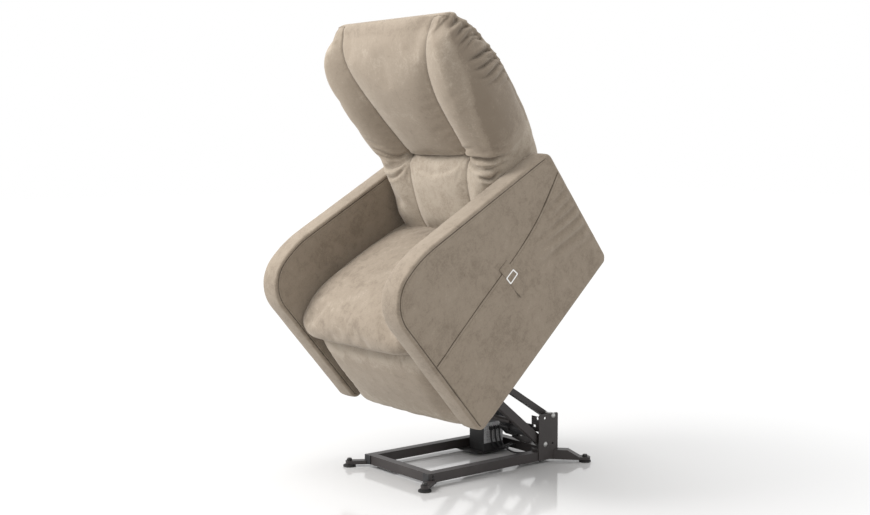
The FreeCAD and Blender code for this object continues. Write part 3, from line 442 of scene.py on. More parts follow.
def make_arm(side):
    """One padded arm in its cover, with its two faces, the seams beside them and the band."""
    rows = []
    no_seam = np.zeros(ARM_STEPS)
    # Each ring of the cover: distance from the edge, how deep it is drawn in, and how dark it is
    # painted along the seam and its stitches, as painted shade.
    insets = ((ARM_FLAT, 0.0, 0), (19.4, -0.1, 0), (18.6, -0.8, 0.30), (17.8, -0.1, 0),
              (15.6, 0.2, 0), (13.6, -0.2, 0), (12.5, -2.4, 0.5), (11.7, -3.6, 1),
              (10.9, -2.4, 0.5), (9.9, 0.1, 0))
    for face in (-1, 1):
        part = []
        for share in (0.94, 0.84, 0.72, 0.60, 0.49, 0.39, 0.30, 0.22, 0.15, 0.09, 0.04):
            ring = arm_line - arm_out * ARM_FLAT
            ring = ring + (ARM_CENTRE - ring) * share
            lift = face_swell(ARM_FLAT + share * 230)
            part.append((ring, np.full(ARM_STEPS, ARM_HALF + lift), no_seam))
        for inset, sink, seam_shading in insets:
            lift = face_swell(inset) + sink * arm_band
            part.append((arm_line - arm_out * inset, ARM_HALF + lift, seam_shading * arm_band))
        for degrees in (0, 18, 36, 54, 72, 90):
            turn = math.radians(degrees)
            inset = ARM_EDGE * (1 - math.sin(turn))
            reach = ARM_HALF - ARM_EDGE * (1 - math.cos(turn))
            part.append((arm_line - arm_out * inset, np.full(ARM_STEPS, reach), no_seam))
        if face > 0:
            part.reverse()
        rows += [(ring, face * reach, seam_shading) for ring, reach, seam_shading in part]
        if face < 0:
            for reach in (-24, -16, -8, 0, 8, 16, 24):
                crown = 1.6 * (1 - (reach / 31.5) ** 2)
                rows.append((arm_line + arm_out * crown, np.full(ARM_STEPS, float(reach)), no_seam))
    x = side * np.array([ARM_MIDDLE + reach for _, reach, _ in rows])
    uv = np.array([ring for ring, _, _ in rows])
    arm = woven("arm_cover_" + SIDE_NAMES[side], np.concatenate([x[..., None], uv], -1),
                finish=arm_suede, seams=[seam_shading for _, _, seam_shading in rows])
    refine(arm)
    points = np.array([v.co for v in arm.data.vertices])
    normals = np.array([v.normal for v in arm.data.vertices])
    lumps = 0.0007 * wander(points, 0.085, side) + 0.0003 * wander(points, 0.028, 3 * side)
    points += normals * lumps[:, None]
    arm.data.vertices.foreach_set("co", points.ravel())
    arm.data.update()
    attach(arm, "carriage")
    # The solids are named from the sitter's side, so this takes the solid of the other arm.
    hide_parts("arm_padding_" + SIDE_NAMES[side])


# This suede is painted darker all over as painted shade; it covers the arms, the side panels, the
# strap and the skirt.
arm_suede = suede("suede_arms", brushed=(0.012, 0.050, 0.012), turn=(0.75, 0, 0.4), clouds=0.17,
                  shade_offset=-0.13)
for side in (-1, 1):
    make_arm(side)


# Backrest cushion: one cover over thick foam, with a bolster down each side. Two seams run down
# from the head to a pair of tufts, and on down the lumbar panel. The cover is pulled in between
# the tufts, where it folds, and it is gathered in pleats round the upper corners.
# Each row is a level section: height, bolster front, seam, middle front, rear, half width, seam X.
BACK_ROWS = np.array((
    (302, 540, 546, 540, 772, 268, 140), (345, 543, 556, 541, 790, 272, 141),
    (418, 569, 586, 568, 824, 280, 142), (480, 589, 625, 602, 843, 287, 146),
    (505, 606, 651, 626, 850, 300, 149), (521, 619, 675, 667, 853, 311, 152),
    (538, 626, 675, 657, 856, 321, 153), (560, 628, 673, 654, 860, 332, 155),
    (654, 637, 674, 653, 871, 346, 164), (735, 644, 678, 658, 879, 346, 173),
    (829, 659, 692, 674, 875, 339, 193), (891, 682, 714, 698, 863, 326, 211),
    (930, 713, 743, 731, 847, 305, 222), (950, 746, 772, 762, 838, 276, 228)), float)
# The sides draw in towards the rear where the cushion is wider than the gap between the arms.
GAP_HALF, TAPER, TAPER_OVER = 287.0, 45.0, 55.0
TUFT_V = 521.0
BACK_LEVELS = 236
# Where the seam, the crest, the side and the ends of the flank and the rear corner come in a row.
SEAM_STEP, CREST_STEP, SIDE_STEP, FLANK_STEP, CORNER_STEP = 29, 46, 63, 93, 100
SECTION_STEPS = [0, SEAM_STEP, CREST_STEP, SIDE_STEP, FLANK_STEP, CORNER_STEP]
# The head closes towards one line and the foot towards another, and each is rounded over.
HEAD_U, HEAD_ROUND = 806, 15
FOOT_U, FOOT_ROUND = 660, 10


def fair(knots, values, at):
    """A smooth line through points, with no overshoot beyond them."""
    step = np.diff(knots)
    rise = np.diff(values) / step
    slope = np.zeros(len(knots))
    for i in range(1, len(knots) - 1):
        if rise[i - 1] * rise[i] > 0:
            w1 = 2 * step[i] + step[i - 1]
            w2 = step[i] + 2 * step[i - 1]
            slope[i] = (w1 + w2) / (w1 / rise[i - 1] + w2 / rise[i])
    slope[0], slope[-1] = rise[0], rise[-1]
    k = np.clip(np.searchsorted(knots, at) - 1, 0, len(step) - 1)
    t = (at - knots[k]) / step[k]
    a, b = values[k], values[k + 1]
    return (a * (1 + 2 * t) * (1 - t) ** 2 + slope[k] * step[k] * t * (1 - t) ** 2
            + b * t * t * (3 - 2 * t) + slope[k + 1] * step[k] * t * t * (t - 1))


def bowed(start, middle, end, t):
    """A curve through three points, for t from nought to one."""
    start, middle, end = (np.array(p, float) for p in (start, middle, end))
    lead_in = np.linalg.norm(middle - start)
    share = lead_in / (lead_in + np.linalg.norm(end - middle))
    t = np.asarray(t)[:, None]
    pull = (middle - start * (1 - share) ** 2 - end * share ** 2) / (2 * share * (1 - share))
    return start * (1 - t) ** 2 + 2 * pull * t * (1 - t) + end * t ** 2


def half_section(bolster, seam, middle, rear, half, seam_x):
    """Points (X, U) from the middle of the front round one side to the middle of the rear."""
    side = bolster + max(26.0, 50 * min(1.0, (seam - bolster) / 28))
    rear_half = half - TAPER * min(1.0, max(0.0, (half - GAP_HALF) / TAPER_OVER))
    turn = min(30.0, (rear - side) / 3)
    flow = np.linspace(0, 1, SEAM_STEP + 1)
    panel = np.stack([seam_x * flow, middle + (seam - middle) * flow ** 3.2], 1)
    crest = half - 0.30 * (half - seam_x)
    quarter = np.linspace(0, math.pi / 2, SIDE_STEP - CREST_STEP + 1)[1:]
    share = np.linspace(0, 1, CREST_STEP - SEAM_STEP + 1)[1:] ** 1.15
    # The bolster fills out from its seam, is fullest near the edge and rolls over to the side.
    inner = np.stack([seam_x + (crest - seam_x) * share,
                      seam - (seam - bolster) * (1 - (1 - share) ** 1.5)], 1)
    outer = np.stack([crest + (half - crest) * np.sin(quarter),
                      bolster + (side - bolster) * (1 - np.cos(quarter))], 1)
    waist = half - 0.35 * (half - rear_half) + 4
    flank = bowed((half, side), (waist, (side + rear - turn) / 2), (rear_half, rear - turn),
                  np.linspace(0, 1, FLANK_STEP - SIDE_STEP + 1)[1:])
    corner = bowed((rear_half, rear - turn), (rear_half - turn * 0.3, rear - turn * 0.3),
                   (rear_half - turn, rear),
                   np.linspace(0, 1, CORNER_STEP - FLANK_STEP + 1)[1:])
    flat = rear_half - turn
    back_x = flat - np.r_[3.0, 6.0, 8.5, 11.0, 13.5, 17.0, 24.0, 36.0,
                          np.linspace(36, flat, 10)[1:]]
    back = np.stack([back_x, np.full(len(back_x), rear)], 1)
    return np.vstack([panel, inner, outer, flank, corner, back])


def back_form():
    """Rows of points (X, U, V) of the back, and how far round the front each one is."""
    low, high = BACK_ROWS[0, 0], BACK_ROWS[-1, 0]
    levels = np.linspace(low, high, BACK_LEVELS)
    sizes = np.stack([fair(BACK_ROWS[:, 0], BACK_ROWS[:, k], levels) for k in range(1, 7)], 1)
    rows, round_it = [], []
    for level, size in zip(levels, sizes):
        half = half_section(*size)
        reach = lengths(half)
        whole = np.vstack([half, half[-2:0:-1] * (-1, 1)])
        rows.append(np.column_stack([whole, np.full(len(whole), level)]))
        round_it.append(np.r_[reach, -reach[-2:0:-1]])
    rows, round_it = np.array(rows), np.array(round_it)
    # The head rolls over to the rear, and the foot closes over in a dome.
    closing = []
    for t in (0.08, 0.17, 0.27, 0.38, 0.50, 0.62, 0.74, 0.85, 0.94):
        ring = rows[-1].copy()
        seam_x = sizes[-1][5]
        over = np.maximum(np.abs(ring[:, 0]) - seam_x, 0)
        ring[:, 0] -= np.sign(ring[:, 0]) * over * (0.25 * t + 0.5 * t ** 3)
        ring[:, 0] *= 1 + 0.04 * t
        ring[:, 1] += (HEAD_U - ring[:, 1]) * t
        ring[:, 2] += HEAD_ROUND * (1 - (1 - t) ** 2)
        closing.append(ring)
    foot = []
    for degrees in (80, 60, 40, 20):
        turn = math.radians(degrees)
        ring = rows[0].copy()
        draw = (1 - math.cos(turn)) * 0.9
        ring[:, 0] *= 1 - 0.3 * draw
        ring[:, 1] += (FOOT_U - ring[:, 1]) * draw
        ring[:, 2] -= FOOT_ROUND * math.sin(turn)
        foot.append(ring)
    rows = np.concatenate([foot, rows, closing])
    pad = [round_it[:1]] * len(foot), [round_it[-1:]] * len(closing)
    return rows, np.concatenate(pad[0] + [round_it] + pad[1])


def outward(rows):
    """The outward direction at each point of closed rows."""
    across = np.roll(rows, -1, axis=1) - np.roll(rows, 1, axis=1)
    up = np.gradient(rows, axis=0)
    normal = np.cross(across, up)
    normal /= np.linalg.norm(normal, axis=2)[..., None] + 1e-9
    middle = rows.mean(axis=(0, 1))
    if ((rows - middle) * normal).sum() < 0:
        normal = -normal
    return normal


def swell(rows, held, push, cap):
    """Lets air into a cover as cloth, held at its seams, and says how far each point moves."""
    piece = woven("cover_in_work", rows)
    grip = piece.vertex_groups.new(name="held")
    for index, weight in enumerate(held.ravel()):
        if weight > 0.001:
            grip.add([index], float(weight), "REPLACE")
    cloth = piece.modifiers.new("cloth", "CLOTH")
    cloth.settings.use_pressure = True
    cloth.settings.uniform_pressure_force = push
    cloth.settings.vertex_group_mass = "held"
    cloth.settings.pin_stiffness = 1.0
    cloth.settings.tension_stiffness = 12
    cloth.settings.compression_stiffness = 12
    cloth.settings.bending_stiffness = 4.0
    cloth.settings.shrink_min = -0.010
    cloth.settings.quality = 5
    cloth.settings.effector_weights.gravity = 0
    cloth.point_cache.frame_start, cloth.point_cache.frame_end = 1, 20
    for frame_number in range(1, 21):
        scene.frame_set(frame_number)
    shaped = piece.evaluated_get(bpy.context.evaluated_depsgraph_get())
    after = np.array([v.co for v in shaped.data.vertices])
    before = np.array([v.co for v in piece.data.vertices])
    move = (after - before) * 1000
    far = np.linalg.norm(move, axis=1)
    move *= (np.minimum(far, cap) / (far + 1e-9))[:, None]
    scene.frame_set(1)
    bpy.data.objects.remove(piece)
    x, y, z = move.reshape(rows.shape).transpose(2, 0, 1)
    u = y * math.cos(TIP) + z * math.sin(TIP)
    v = -y * math.sin(TIP) + z * math.cos(TIP)
    return np.stack([x, u, v], -1)


def eased(field):
    """A field over closed rows with each point drawn half way to the mean of its neighbours."""
    near = (np.roll(field, 1, axis=1) + np.roll(field, -1, axis=1)) / 2
    field = (field + near) / 2
    above = np.vstack([field[:1], field[:-1]])
    below = np.vstack([field[1:], field[-1:]])
    return (2 * field + above + below) / 4


def finer_rows(coarse, shape):
    """Coarse closed rows brought to a finer grid."""
    n, m = shape
    r = np.linspace(0, coarse.shape[0] - 1, n)
    c = np.arange(m) * coarse.shape[1] / m
    r0 = np.minimum(r.astype(int), coarse.shape[0] - 2)
    c0 = c.astype(int)
    fr, fc = (r - r0)[:, None, None], (c - c0)[None, :, None]
    c1 = (c0 + 1) % coarse.shape[1]
    top = coarse[r0][:, c0] * (1 - fc) + coarse[r0][:, c1] * fc
    bottom = coarse[r0 + 1][:, c0] * (1 - fc) + coarse[r0 + 1][:, c1] * fc
    return top * (1 - fr) + bottom * fr


def puffed(rows, held, push, cap):
    """How far air moves each point of a cover, found on every second row and column of it."""
    air = swell(rows[::2, ::2], held[::2, ::2], push, cap)
    return eased(finer_rows(eased(air), rows.shape[:2]))


back_rows, back_round = back_form()
back_level = back_rows[..., 2]
SEAM_COLUMNS = (SEAM_STEP, back_level.shape[1] - SEAM_STEP)
# Distance behind the seam at each rear corner, where the outer back panel is sewn on.
rear_seam = np.abs(back_round) - back_round[:, [CORNER_STEP]]


def crease(line, around, level, depth, width, puff=0.35, ends=(0.15, 0.35), edge=2.0):
    """Depth of a fold along a line of (round, level) points: a valley with soft lips."""
    line = np.array(line, float)
    t = np.linspace(0, 1, 60)
    knots = lengths(line)
    knots /= knots[-1]
    way = np.stack([fair(knots, line[:, k], t) for k in (0, 1)], 1)
    reach = 5 * width
    near = ((around > way[:, 0].min() - reach) & (around < way[:, 0].max() + reach)
            & (level > way[:, 1].min() - reach) & (level < way[:, 1].max() + reach))
    depths = np.zeros(around.shape)
    points = np.stack([around[near], level[near]], 1)
    if not len(points):
        return depths
    gap = np.linalg.norm(points[:, None] - way[None], axis=2)
    best = gap.argmin(axis=1)
    away = gap[np.arange(len(points)), best]
    here = t[best]
    taper = smooth(here, -0.001, ends[0] + 0.001) * (1 - smooth(here, 1 - ends[1], 1.001))
    valley = np.exp(-(away / width) ** edge)
    lip = np.exp(-((away - 2.2 * width) / (1.3 * width)) ** 2)
    depths[near] = depth * taper * (puff * lip - valley)
    return depths


def round_at(share, level):
    """Distance round a level: 0 middle, 1 seam, 2 crest, 3 side, 4 flank end, 5 rear corner."""
    row = np.abs(back_level[:, 0] - level).argmin()
    return float(np.interp(share, range(6), back_round[row, SECTION_STEPS]))


# Folds as (share round the section, height) points, their depth and their half width. The first
# group fans out of each tuft over the bolster, the second is the row of pleats at each corner,
# and the third lies on the panel between the seams.
TUFT_FOLDS = {
    1: ((((1.0, 523), (1.25, 535), (1.80, 543), (2.53, 527), (3.30, 493)), 13.0, 6.5),
        (((1.0, 520), (1.40, 513), (1.76, 513), (2.18, 510), (3.20, 484)), 9.5, 5.5),
        (((1.85, 496), (2.18, 484), (2.47, 476), (2.90, 479)), 10.0, 5.0),
        (((1.02, 526), (1.2, 556), (1.45, 578), (1.9, 588)), 3.4, 6.0),
        (((2.1, 572), (2.6, 560), (3.1, 538)), 2.8, 6.0),
        (((1.0, 515), (1.12, 485), (1.18, 450)), 2.4, 4.5)),
    -1: ((((1.0, 523), (1.24, 528), (1.47, 542), (1.71, 569), (2.05, 594)), 9.0, 5.5),
         (((1.0, 519), (1.18, 512), (1.41, 508), (1.76, 509), (2.4, 518)), 9.0, 5.0),
         (((1.2, 520), (1.53, 534), (1.88, 556), (2.2, 578)), 5.0, 4.6),
         (((1.0, 515), (1.3, 492), (1.7, 480), (2.3, 486)), 4.6, 5.0),
         (((1.5, 585), (1.8, 612), (2.2, 628)), 2.6, 6.0),
         (((1.0, 515), (1.10, 485), (1.16, 450)), 2.2, 4.5))}
CORNER_PLEATS = (
    (((2.10, 960), (2.8, 962), (3.4, 961)), 4.0, 4.0),
    (((2.60, 934), (2.94, 939), (3.4, 936), (4.3, 926)), 9.0, 4.6),
    (((2.95, 905), (3.33, 908), (3.8, 903), (4.3, 886)), 12.0, 4.8),
    (((3.45, 893), (3.9, 878), (4.3, 868)), 7.0, 3.6),
    (((2.80, 892), (3.1, 889), (3.57, 881), (4.0, 856), (4.3, 845)), 13.0, 5.2),
    (((2.95, 869), (3.23, 867), (3.67, 860), (4.0, 834), (4.3, 824)), 11.0, 4.6),
    (((2.90, 842), (3.17, 837), (3.53, 818), (4.0, 790), (4.3, 778)), 13.0, 5.4),
    (((3.40, 812), (3.75, 786), (4.3, 762)), 7.0, 4.0),
    (((2.85, 826), (3.1, 814), (3.4, 792), (4.0, 757), (4.3, 746)), 12.0, 5.2),
    (((2.80, 808), (3.07, 792), (3.33, 762), (4.0, 732), (4.3, 722)), 10.0, 5.4),
    (((2.90, 772), (3.13, 754), (3.47, 729), (4.0, 706), (4.3, 698)), 7.0, 5.6),
    (((3.40, 704), (3.75, 688), (4.3, 672)), 3.4, 6.0),
    (((1.15, 949), (1.6, 957), (2.2, 961)), 2.4, 3.6),
    (((1.15, 925), (1.5, 938), (1.9, 944)), 1.6, 3.6))
PANEL_FOLDS = (
    (((-1.0, 519), (-0.5, 503), (0.0, 494), (0.5, 502), (1.0, 519)), 4.2, 6.0),
    (((-0.98, 519), (-0.5, 511), (0.0, 508), (0.5, 511), (0.98, 519)), 1.8, 3.4),
    (((-1.0, 522), (-0.5, 522), (0.0, 520), (0.5, 521), (1.0, 522)), 7.5, 4.2),
    (((-0.94, 517), (-0.78, 494), (-0.70, 470)), 1.4, 6.0),
    (((0.94, 517), (0.80, 492), (0.73, 468)), 1.4, 6.0),
    (((-0.86, 530), (-0.6, 538), (-0.3, 536)), 1.3, 5.0),
    (((0.30, 536), (0.6, 539), (0.86, 530)), 1.3, 5.0))


def seam_distance():
    """Distance round the front from each of the two long seams."""
    return [np.abs(back_round - back_round[:, [column]]) for column in SEAM_COLUMNS]


def back_creases():
    """How far each point of the back stands in or out of its smooth form."""
    relief = np.zeros(back_level.shape)
    for side in (-1, 1):
        around = side * back_round
        tuft = np.hypot(around - round_at(1, TUFT_V), back_level - TUFT_V)
        relief -= 7.0 * np.exp(-(tuft / 13) ** 2)
        folds = [fold + ((0.15, 0.35), 1.6) for fold in TUFT_FOLDS[side]]
        folds += [fold + ((0.6, 0.02), 1.25) for fold in CORNER_PLEATS]
        for number, (line, depth, width, ends, edge) in enumerate(folds):
            # The two sides are sewn by hand, so their folds differ a little.
            shift = 3.5 * noise.noise(Vector((number * 1.7, side * 4.1, 0)))
            deep = depth * (1 + 0.25 * noise.noise(Vector((side * 3.3, number * 2.3, 1))))
            spots = [(round_at(share, height), height + shift) for share, height in line]
            relief += crease(spots, around, back_level, deep, width, 0.35, ends, edge)
    for line, depth, width in PANEL_FOLDS:
        spots = [(math.copysign(round_at(abs(share), height), share), height)
                 for share, height in line]
        relief += crease(spots, back_round, back_level, depth, width, ends=(0.02, 0.02))
    # The rear seams go over a cord that stands a little proud.
    corded = 1 - smooth(back_level, 915, 942)
    relief += 2.6 * corded * np.exp(-((rear_seam - 2) / 3.2) ** 2)
    relief -= 2.2 * corded * np.exp(-((rear_seam - 9.5) / 2.0) ** 2)
    for away in seam_distance():
        pucker = 1 + 0.5 * np.sin(back_level / 3.1 + 2 * np.sin(back_level / 17))
        relief -= 2.6 * np.exp(-(away / 2.3) ** 2)
        relief += 0.35 * pucker * np.exp(-((away - 7) / 4.5) ** 2)
    return relief


back_held = np.zeros(back_level.shape)
for column in SEAM_COLUMNS:
    back_held[:, column - 1:column + 2] = 1
between = np.abs(back_round) < np.abs(back_round[:, SEAM_STEP])[:, None]
back_held = np.maximum(back_held, between * np.exp(-((back_level - TUFT_V) / 7) ** 2))
back_held[:, FLANK_STEP + 3:-(FLANK_STEP + 2)] = 1
back_shape = back_rows + eased(puffed(back_rows, back_held, 3.2, 12.0))
back_relief = back_creases()
back_shape = back_shape + outward(back_shape) * back_relief[..., None]
back_suede = suede("suede_back", brushed=(0.010, 0.012, 0.060), turn=(-0.75, 0, 0), clouds=0.15,
                   seed=3.0)
# Painted shade: the cover is painted darker along the rear seams and the two long seams, and in the
# fold between the tufts.
back_seam_shade = 0.6 * (back_level < 940) * np.exp(-((rear_seam - 9.5) / 1.6) ** 2)
back_seam_shade += sum(0.62 * np.exp(-(away / 1.7) ** 2) for away in seam_distance())
tuft_fold_shade = np.exp(-((back_level - TUFT_V - 0.5) / 2.2) ** 2) * between
# Painted shade: the cover is painted darker in the bottom of a deep fold.
fold_shade = np.clip((-back_relief - 2.5) / 12, 0, 0.36)
# Painted shade and light above the tufts: the sides of the bolsters are painted darker where they
# turn away from the light, most of all beside the front, and the bolster fronts a little paler.
section_share = np.array([np.interp(np.abs(around), around[SECTION_STEPS], range(6))
                          for around in back_round])
shade_turn_share = np.interp(back_level, (649, 746, 831), (2.50, 2.80, 3.06))
side_shade = smooth(section_share, shade_turn_share - 0.24, shade_turn_share + 0.24) * (1 - 0.45 * smooth(
    section_share, shade_turn_share, 4.0)) * (1 - smooth(section_share, 4.0, 4.8))
front_light = smooth(section_share, 1.3, 2.3) * (1 - smooth(section_share, shade_turn_share - 0.24,
                                                       shade_turn_share + 0.10))
above_tufts = smooth(back_level, 500, 600)
# Painted light and shade: the lumbar panel below the tufts is painted paler and the top of the head
# darker.
lumbar_light_head_shade = 0.34 * (1 - smooth(back_level, 500, 548)) - 0.16 * smooth(back_level, 930, 960)
back = woven("back_cushion_cover", back_shape, finish=back_suede,
             seams=np.clip(back_seam_shade + 0.3 * tuft_fold_shade + fold_shade, 0, 1),
             painted_light=lumbar_light_head_shade + (0.10 * front_light - 0.66 * side_shade) * above_tufts)
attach(back, "backrest")
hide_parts("back_cushion", "outer_back")


def smooth_line(points, count):
    """Evenly spaced points on a smooth line through a few."""
    points = np.array(points, float)
    knots = lengths(points)
    dense = np.linspace(0, knots[-1], 400)
    return evenly(np.stack([fair(knots, points[:, k], dense) for k in (0, 1)], 1), count)


PAD_STEP = 4.6


def pad_rows(section, half, edge):
    """Rows of a pad that runs from side to side, with its two ends rolled over."""
    rows = []
    places = np.linspace(-half + edge, half - edge, int(2 * (half - edge) / PAD_STEP) + 1)
    for x in places:
        ring = section(x)
        rows.append(np.column_stack([np.full(len(ring), x), ring]))
    for end, sign in ((places[0], -1), (places[-1], 1)):
        ring = section(end)
        out = ring_out(ring)
        rolled = []
        for degrees in (18, 36, 54, 72, 90):
            turn = math.radians(degrees)
            inset = ring - out * edge * (1 - math.cos(turn))
            rolled.append(np.column_stack([
                np.full(len(ring), end + sign * edge * math.sin(turn)), inset]))
        rows = rolled[::-1] + rows if sign < 0 else rows + rolled
    return np.array(rows)


def air_filled(rows, free, front, sides, push, cap):
    """Rows of a pad filled with air, which are held past the free steps and at their edges."""
    held = np.zeros(rows.shape[:2])
    held[:, free:] = 1
    held[:, :front] = 1
    held[:sides] = 1
    held[-sides:] = 1
    return rows + puffed(rows, held, push, cap)


def lumpy(rows, *lumps):
    """Slight lumps over rows of points, from sets of height, size and seed."""
    spots = rows.reshape(-1, 3)
    high = sum(height * wander(spots, size, seed) for height, size, seed in lumps)
    return high.reshape(rows.shape[:2])


# Seat cushion: thick foam with its top crowned from side to side and rolled over at the front,
# where the cover is seamed under the nose. It sits on the seat frame, between the arms.
SEAT_HALF = 284.0
SEAT_TOP_STEPS = 128


def seat_section(x):
    share = abs(x) / (SEAT_HALF + 1)
    crown = 7 * (1 - share ** 2) - 11 * share ** 18
    back_off = 32 * share ** 6
    top = smooth_line([(560, 297), (538, 306), (430, 343 + crown * 0.8), (300, 377 + crown),
                       (150, 400 + crown), (58 + back_off, 390 + crown),
                       (14 + back_off, 366 + crown / 2), (4 + back_off, 337),
                       (15 + back_off, 312)], SEAT_TOP_STEPS)
    under = smooth_line([(15 + back_off, 312), (27 + back_off, 303), (78, 298)], 12)[1:]
    rest = [(104, 297), (107, 290), (108, 280), (109, 268)]
    floor_line = [(u, 267.4) for u in np.linspace(125, 540, 34)] + [(556, 268), (562, 280)]
    return np.vstack([top, under, rest, floor_line])


seat_rows = air_filled(pad_rows(seat_section, SEAT_HALF, 11), free=SEAT_TOP_STEPS, front=6,
                       sides=7, push=2.6, cap=9.0)
sx, su, sv = np.moveaxis(seat_rows, -1, 0)
top_side = smooth(sv, 300, 312)
seat_lumps = lumpy(seat_rows, (1.3, 120, 7), (0.5, 38, 2))
# The seam under the nose: the cover dips into it and stands up in a small welt beside it.
steps = np.broadcast_to(np.arange(seat_rows.shape[1]), sx.shape)
seam_dip = -1.6 * np.exp(-((steps - SEAT_TOP_STEPS + 2) / 1.2) ** 2)
seam_dip += 1.0 * np.exp(-((steps - SEAT_TOP_STEPS - 1.5) / 1.3) ** 2)
# Fine folds run in from both sides where the cover is drawn over the edge of the foam.
edge_pull = np.zeros(sx.shape)
for side, place, lean_off in ((-1, 120, 20), (-1, 215, 26), (1, 150, 22), (1, 262, 30),
                              (-1, 345, 24), (1, 390, 26)):
    line = [(side * 278, place - lean_off), (side * 250, place - 8), (side * 215, place + 6)]
    edge_pull += crease(line, sx, su, 1.3, 7.0, ends=(0.05, 0.7)) * top_side
seat_rows = seat_rows + outward(seat_rows) * (seat_lumps * top_side + seam_dip
                                              + edge_pull)[..., None]
# The seat's suede is painted darker all over as painted shade.
seat_suede = suede("suede_seat", brushed=(0.014, 0.050, 0.014), turn=(0.75, 0, 0.5), clouds=0.24,
                   seed=6.0, shade_offset=-0.12)
# A painted highlight: the upper part of the nose is painted a little paler.
seat_highlight = 0.04 * np.exp(-((su - 120) / 70) ** 2) * smooth(sv, 330, 370)
seat = woven("seat_cushion_cover", seat_rows, finish=seat_suede, painted_light=seat_highlight)
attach(seat, "carriage")
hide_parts("seat_cushion")


# Footrest panel: a board with a foam pad on its front, covered in one piece and crowned from side
# to side. It hangs below the nose of the seat and swings out and up on its links.
FOOT_HALF = 271.0
FOOT_FRONT_STEPS = 76


def foot_section(x):
    share = abs(x) / (FOOT_HALF + 1)
    w = 13 * (1 - share ** 2) - 15 * share ** 14
    front = smooth_line([(93, 281), (74, 287), (52 - 0.6 * w, 282), (36 - 0.8 * w, 245),
                         (26 - w, 190), (20 - w, 130), (18 - w, 80), (15 - 0.8 * w, 20),
                         (18 - 0.5 * w, -6), (28, -11)], FOOT_FRONT_STEPS)
    rear = [(44, -9.5), (54, -7), (55.6, 2)] + [(55.6, v) for v in np.linspace(14, 138, 12)]
    rear += [(55.6 + 38 * t, 150 + 128 * t) for t in np.linspace(0, 0.97, 13)]
    return np.vstack([front, rear])


foot_rows = air_filled(pad_rows(foot_section, FOOT_HALF, 12), free=FOOT_FRONT_STEPS, front=3,
                       sides=6, push=2.2, cap=7.0)
fx, fu, fv = np.moveaxis(foot_rows, -1, 0)
front_side = 1 - smooth(fu - 0.1 * fv, 40, 52)
foot_lumps = lumpy(foot_rows, (1.2, 110, 11), (0.4, 34, 4))
foot_pull = np.zeros(fx.shape)
for side, place in ((-1, 40), (1, 62), (-1, 128), (1, 170), (-1, 214)):
    line = [(side * 266, place), (side * 236, place + 7), (side * 196, place + 4)]
    foot_pull += crease(line, fx, fv, 1.4, 7.0, ends=(0.05, 0.7))
foot_rows = foot_rows + outward(foot_rows) * ((foot_lumps + foot_pull) * front_side)[..., None]
foot_suede = suede("suede_footrest", brushed=(0.050, 0.012, 0.012), turn=(0.0, 0, 0.3),
                   clouds=0.17, seed=9.0)
# Painted light and shade by height: the pad is painted paler towards its top and towards its lower
# edge, and darker between.
foot = woven("footrest_pad_cover", foot_rows, finish=foot_suede,
             painted_light=0.52 * smooth(fv, 205, 262) - 0.04 + 0.25 * (1 - smooth(fv, 20, 95)))
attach(foot, "footrest")
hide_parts("footrest_pad")


# Lower side panels: a second layer of suede on the outer face of each arm, folded under along its
# top edge, with a row of stitches below the fold. The edge climbs to the rear in a long curve, and
# the cloth is drawn in soft folds that fan out from the rear corner.
SIDE_SEAM = ((-20, 279), (27, 281.5), (154, 289.5), (291, 294.5), (420, 297), (517, 302.5),
             (590, 312.5), (654, 327), (767, 362), (810, 376))
PANEL_LIFT = 2.2
PANEL_FRONT, PANEL_LENGTH, PANEL_DROP = 13.0, 713.5, 305.0
RING_U, RING_V = 409.0, 262.0
# Folds as (U, V) points from the rear edge forward, their depth and half width.
SIDE_FOLDS = (
    (((748, 258), (689, 268), (612, 281), (560, 288)), 5.2, 8.0),
    (((748, 226), (642, 250), (546, 271), (500, 276)), 7.0, 9.5),
    (((742, 192), (642, 217), (537, 246), (480, 256)), 6.4, 10.0),
    (((738, 150), (640, 176), (540, 200), (470, 212)), 4.4, 11.0),
    (((752, 300), (700, 303), (640, 306)), 3.4, 7.0),
    (((735, 104), (650, 128), (560, 150)), 2.0, 12.0))


def inset_at(points):
    """Distance of (U, V) points inside the edge of the arm."""
    flat = points.reshape(-1, 2)
    gap = np.full(len(flat), 1e9)
    for start, direction in zip(arm_line, arm_out):
        gap = np.minimum(gap, -((flat - start) @ direction))
    return gap.reshape(points.shape[:-1])


